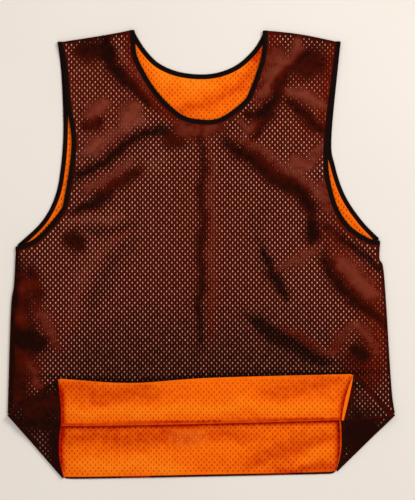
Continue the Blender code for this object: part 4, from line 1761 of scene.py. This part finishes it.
def knit_group() -> bpy.types.NodeTree:
    """Columns of stitches and their rows, with loose fibres.

    The height is the product of a wave across the columns and one along them, both bent by noise.

    Returns:
        The group.
    """
    number, vector = "NodeSocketFloat", "NodeSocketVector"
    group, nodes, start, end = new_group(
        "bib_knit", {"Place": vector, "Column width": number, "Row height": number, "Looseness": number},
        {"Height": number, "Fleck": number})
    place = start.outputs["Place"]
    wander = nodes.add("ShaderNodeTexNoise", {"Vector": place, "Scale": 160.0, "Detail": 2.0})
    aside = nodes.maths("SUBTRACT", wander.outputs[0], 0.5)
    bend = nodes.maths("MULTIPLY", aside, start.outputs["Looseness"])
    parts = nodes.add("ShaderNodeSeparateXYZ", {0: place})
    waves = []
    for axis, width in ((0, "Column width"), (1, "Row height")):
        turns = nodes.maths("ADD", nodes.maths("DIVIDE", parts.outputs[axis], start.outputs[width]), bend)
        wave = nodes.maths("SINE", nodes.maths("MULTIPLY", turns, 2 * math.pi))
        waves.append(nodes.maths("MULTIPLY_ADD", wave, 0.5, 0.5))
    height = nodes.maths("MULTIPLY", waves[0], nodes.maths("MULTIPLY_ADD", waves[1], 0.5, 0.5))
    fibre = nodes.add("ShaderNodeTexNoise", {"Vector": place, "Scale": 900.0, "Detail": 3.0})
    nodes.join(height, end, "Height")
    nodes.join(fibre.outputs[0], end, "Fleck")
    return group


def shade_group() -> bpy.types.NodeTree:
    """A cloth's colour between painted shade in troughs and a painted highlight on ridges, mottled by noise.

    The tone is the piece's own plus shares of two noises. Below 0 it turns the plain colour into the dark
    one, and above 0 into the bright one.

    Returns:
        The group.
    """
    number, vector, colour = "NodeSocketFloat", "NodeSocketVector", "NodeSocketColor"
    group, nodes, start, end = new_group(
        "bib_shade", {"Place": vector, "Tone": number, "Mottle": number, "Fleck": number, "Dark": colour,
                      "Plain": colour, "Bright": colour}, {"Color": colour})
    cloud = nodes.add("ShaderNodeTexNoise", {"Vector": start.outputs["Place"], "Scale": 110.0, "Detail": 4.0})
    noises = cloud.outputs[0], start.outputs["Fleck"]
    cloudy, flecked = (nodes.maths("SUBTRACT", noise, 0.5) for noise in noises)
    cloud_part = nodes.maths("MULTIPLY", cloudy, start.outputs["Mottle"])
    fleck_part = nodes.maths("MULTIPLY", flecked, 0.5)
    tone = nodes.maths("ADD", nodes.maths("ADD", start.outputs["Tone"], cloud_part), fleck_part)
    low, high = (nodes.maths("MULTIPLY", tone, sign, clamp=True) for sign in (-1.0, 1.0))
    darker = nodes.mixed(low, start.outputs["Plain"], start.outputs["Dark"])
    nodes.join(nodes.mixed(high, darker, start.outputs["Bright"]), end, "Color")
    return group


@dataclass(frozen=True)
class ClothFinish:
    """The look of one kind of mesh.

    Args:
        name: its material's name.
        slot: the record's material slot; not used.
        dark: painted shade, its colour in troughs.
        plain: colour on the flat.
        bright: painted highlight, its colour on ridges.
        under: colour beneath other cloth.
        dim: that colour in painted shade, where the tone is low.
        lit: that colour in painted light, where the tone is high.
        inside_only: whether the colour beneath other cloth is on the cloth's inner side alone.
        roughness: its roughness.
        specular: its specular level.
        sheen: its sheen weight.
        column: width of a column of stitches.
        row: height of a row of stitches.
    """

    name: str
    slot: str
    dark: tuple
    plain: tuple
    bright: tuple
    under: tuple
    dim: tuple
    lit: tuple
    inside_only: bool = False
    roughness: float = 0.85
    specular: float = 0.02
    sheen: float = 0.01
    column: float = 1.37 * MM
    row: float = 1.1 * MM

    def make(self, knit: bpy.types.NodeTree, shade: bpy.types.NodeTree) -> bpy.types.Material:
        """Builds the material.

        Args:
            knit: the group for stitches.
            shade: the group for colours.

        Returns:
            The material.
        """
        made, nodes, shader = new_material(self.name, self.roughness, self.specular, self.sheen)
        place = nodes.add("ShaderNodeUVMap", uv_map="cloth").outputs[0]
        tone = nodes.add("ShaderNodeAttribute", attribute_name="tone").outputs["Fac"]
        under = nodes.add("ShaderNodeAttribute", attribute_name="under").outputs["Fac"]
        stitches = nodes.add("ShaderNodeGroup", node_tree=knit)
        looks = {"Place": place, "Column width": self.column, "Row height": self.row, "Looseness": 0.7}
        nodes.fill(stitches, looks)
        if self.inside_only:
            under = nodes.maths("MULTIPLY", under, nodes.add("ShaderNodeNewGeometry").outputs["Backfacing"])
        common = {"Place": place, "Tone": tone, "Fleck": stitches.outputs["Fleck"]}
        colours = []
        for mottle, low, middle, high in ((0.9, self.dark, self.plain, self.bright),
                                          (1.9, self.dim, self.under, self.lit)):
            own = {"Mottle": mottle, "Dark": low, "Plain": middle, "Bright": high}
            colours.append(nodes.add("ShaderNodeGroup", node_tree=shade))
            nodes.fill(colours[-1], common | own)
        seen, beneath = (node.outputs[0] for node in colours)
        height = stitches.outputs["Height"]
        bump = nodes.add("ShaderNodeBump", {"Strength": 0.35, "Distance": 0.3 * MM, "Height": height})
        nodes.join(nodes.mixed(under, seen, beneath), shader, "Base Color")
        nodes.join(bump.outputs[0], shader, "Normal")
        return made


@dataclass(frozen=True)
class BandFinish:
    """The look of the bindings: a ribbed band with a row of stitches near its sewn edge.

    Args:
        name: its material's name.
        slot: the record's material slot; not used.
        band: the band's colour.
        worn: its colour where it is a little lighter.
        thread: the stitches' colour.
        rib: distance between ribs.
        stitch: distance between stitches.
        row: the stitches' distance from the cloth's edge.
        thread_wide: half the thread's width.
        thread_share: how much of the distance between stitches the thread takes.
    """

    name: str
    slot: str
    band: tuple
    worn: tuple
    thread: tuple
    rib: float = 1.1 * MM
    stitch: float = 3.0 * MM
    row: float = 1.4 * MM
    thread_wide: float = 0.4 * MM
    thread_share: float = 0.72

    def make(self, knit: bpy.types.NodeTree, shade: bpy.types.NodeTree) -> bpy.types.Material:
        """Builds the material.

        Args:
            knit: the group for stitches.
            shade: the group for colours.

        Returns:
            The material.
        """
        made, nodes, shader = new_material(self.name, 0.8, 0.04, 0.01)
        place = nodes.add("ShaderNodeUVMap", uv_map="cloth").outputs[0]
        parts = nodes.add("ShaderNodeSeparateXYZ", {0: place})
        ribs = nodes.add("ShaderNodeGroup", node_tree=knit)
        nodes.fill(ribs, {"Place": place, "Column width": 0.8 * MM, "Row height": self.rib, "Looseness": 0.3})
        mix = nodes.add("ShaderNodeGroup", node_tree=shade)
        nodes.fill(mix, {"Place": place, "Tone": 0.0, "Mottle": 1.2, "Fleck": ribs.outputs["Fleck"],
                         "Dark": self.band, "Plain": self.band, "Bright": self.worn})
        off = nodes.maths("ABSOLUTE", nodes.maths("SUBTRACT", parts.outputs[0], self.row))
        line = nodes.maths("LESS_THAN", off, self.thread_wide)
        beat = nodes.maths("FRACT", nodes.maths("DIVIDE", parts.outputs[1], self.stitch))
        sewn = nodes.maths("MULTIPLY", line, nodes.maths("LESS_THAN", beat, self.thread_share))
        height = nodes.maths("ADD", nodes.maths("MULTIPLY", sewn, 0.6), ribs.outputs["Height"])
        bump = nodes.add("ShaderNodeBump", {"Strength": 0.6, "Distance": 0.4 * MM, "Height": height})
        nodes.join(nodes.mixed(sewn, mix.outputs[0], self.thread), shader, "Base Color")
        nodes.join(bump.outputs[0], shader, "Normal")
        return made


# dark and bright are painted shade and highlight; under is a painted reflection of the orange cloth on the
# black one, with dim and lit its painted shade and light
BLACK_MESH = ClothFinish(
    "black_mesh_knit", "black_mesh",
    dark=srgb(26, 7, 3), plain=srgb(79, 15, 3), bright=srgb(121, 54, 38),
    under=srgb(206, 40, 0), dim=srgb(140, 18, 0), lit=srgb(230, 70, 0))
# the same painted shade, highlight and reflection; its lit is a painted pool of light where the table seems
# to show through both layers
BLACK_BACK = ClothFinish(
    "black_mesh_back", "black_mesh",
    dark=srgb(30, 7, 4), plain=srgb(58, 14, 8), bright=srgb(108, 42, 27),
    under=srgb(206, 40, 0), dim=srgb(140, 18, 0), lit=srgb(255, 186, 100), inside_only=True)
# dark and bright are painted shade and highlight, and dim and lit the painted shade and light of the colour
# beneath the black cloth
ORANGE_MESH = ClothFinish(
    "orange_mesh_knit", "orange_mesh",
    dark=srgb(188, 22, 0), plain=srgb(250, 106, 8), bright=srgb(255, 138, 20),
    under=srgb(255, 206, 180), dim=srgb(132, 72, 50), lit=srgb(255, 236, 220), roughness=0.8)
FINISHES = {
    (Side.FRONT, Cloth.OUTER): BLACK_MESH,
    (Side.FRONT, Cloth.INNER): ORANGE_MESH,
    (Side.BACK, Cloth.OUTER): BLACK_BACK,
    (Side.BACK, Cloth.INNER): ORANGE_MESH,
}
BINDING = BandFinish(
    "black_binding_rib", "black_binding",
    band=srgb(18, 7, 5), worn=srgb(34, 16, 12), thread=srgb(34, 15, 11))


@dataclass(frozen=True)
class Studio:
    """The table, the light and the camera, which looks straight down.

    Args:
        centre: the place that the camera looks at.
        view: how much of the table it sees from top to bottom.
        distance: its height above the table.
        table_half: half the table's width, in metres.
        lamp_place: where the lamp is, in metres.
        lamp_width: its width, in metres.
        lamp_power: its power, in watts.
        lamp_colour: its colour.
        surround: the colour of the light from all round.
        surround_power: how strong that is.
    """

    centre: tuple = (9.74, 6.77)
    view: float = 777.5
    distance: float = 2600.0
    table_half: float = 3.0
    lamp_place: tuple = (1.5, 1.35, 1.9)
    lamp_width: float = 1.1
    lamp_power: float = 34.0
    lamp_colour: tuple = (1.0, 0.965, 0.92)
    surround: tuple = (1.0, 0.975, 0.945, 1.0)
    surround_power: float = 0.72

    def build(self) -> None:
        """Makes the table, the light and the camera."""
        self.table()
        self.light()
        self.camera()

    def table(self) -> None:
        """A plain pale table top."""
        half = self.table_half
        corners = [(-half, -half, 0), (half, -half, 0), (half, half, 0), (-half, half, 0)]
        mesh = bpy.data.meshes.new("table_top")
        mesh.from_pydata(corners, [], [(0, 1, 2, 3)])
        top = linked("table_top", mesh)
        made, nodes, shader = new_material("pale_table", 0.8, 0.2)
        place = nodes.add("ShaderNodeTexCoord").outputs["Object"]
        cloud = nodes.add("ShaderNodeTexNoise", {"Vector": place, "Scale": 3.0, "Detail": 2.0})
        colour = nodes.mixed(cloud.outputs[0], srgb(232, 225, 217), srgb(240, 233, 227))
        nodes.join(colour, shader, "Base Color")
        mesh.materials.append(made)

    def light(self) -> None:
        """A broad soft light from the upper right, and a pale surround."""
        lamp = bpy.data.lights.new("window", "AREA")
        lamp.shape, lamp.size, lamp.energy = "DISK", self.lamp_width, self.lamp_power
        lamp.color = self.lamp_colour
        made = linked("window", lamp)
        made.location = self.lamp_place
        made.rotation_euler = (-made.location).to_track_quat("-Z", "Y").to_euler()
        world = bpy.data.worlds.new("surround")
        world.use_nodes = True
        back = world.node_tree.nodes["Background"]
        back.inputs[0].default_value = self.surround
        back.inputs[1].default_value = self.surround_power
        bpy.context.scene.world = world

    def camera(self) -> None:
        """The camera above the bib."""
        lens = bpy.data.cameras.new("camera")
        lens.sensor_fit = "VERTICAL"
        lens.angle = 2 * math.atan(self.view / 2 / self.distance)
        lens.clip_end = 20.0
        made = linked("camera", lens)
        made.location = (self.centre[0] * MM, self.centre[1] * MM, self.distance * MM)
        bpy.context.scene.camera = made
        bpy.context.scene.view_settings.view_transform = "Standard"


@dataclass(frozen=True)
class Bib:
    """The whole bib: four layers of cloth and three bindings.

    Args:
        flat: width, length and area of the front and the back, unfolded, in metres; not used.
    """

    flat: dict = field(default_factory=lambda: {
        Side.FRONT: (0.60, 0.70, 0.345), Side.BACK: (0.60, 0.70, 0.357)})

    def build(self) -> None:
        """Makes and dresses all pieces."""
        knit, shade = knit_group(), shade_group()
        materials = {f: f.make(knit, shade) for f in (BLACK_MESH, BLACK_BACK, ORANGE_MESH, BINDING)}
        bands = [band.build(materials[BINDING]) for band in self.bindings()]
        for (side, cloth), below, sewn_on in (
                ((Side.BACK, Cloth.OUTER), "table_top", []),
                ((Side.BACK, Cloth.INNER), "cloth_back_outer", []),
                ((Side.FRONT, Cloth.INNER), "cloth_back_inner", []),
                ((Side.FRONT, Cloth.OUTER), "cloth_front_inner", bands)):
            piece = ClothLayer(side, cloth).build(materials[FINISHES[side, cloth]])

    def bindings(self) -> tuple:
        """The bindings of the neck and of the two armholes, each sewn along the front's and the back's edge.

        Returns:
            The three of them.
        """
        plans = Plan(Side.FRONT), Plan(Side.BACK)
        up, left, right = (0, 1), (-1, 0), (1, 0)
        neck = [plan.neck_line for plan in plans]
        arms = [[plan.arm_line[hand][::-1] for plan in plans] for hand, _ in HANDS]
        return (Binding("neck_binding", *neck, (up, up), (right, left), 1),
                Binding("armhole_binding_left", *arms[0], (up, left), (left, up), -1),
                Binding("armhole_binding_right", *arms[1], (up, right), (right, up), 1))


def main() -> None:
    """Builds the bib and the studio round the frame."""
    logging.basicConfig(level=logging.INFO, format="%(message)s")
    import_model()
    Studio().build()
    Bib().build()


if __name__ == "__main__":
    main()
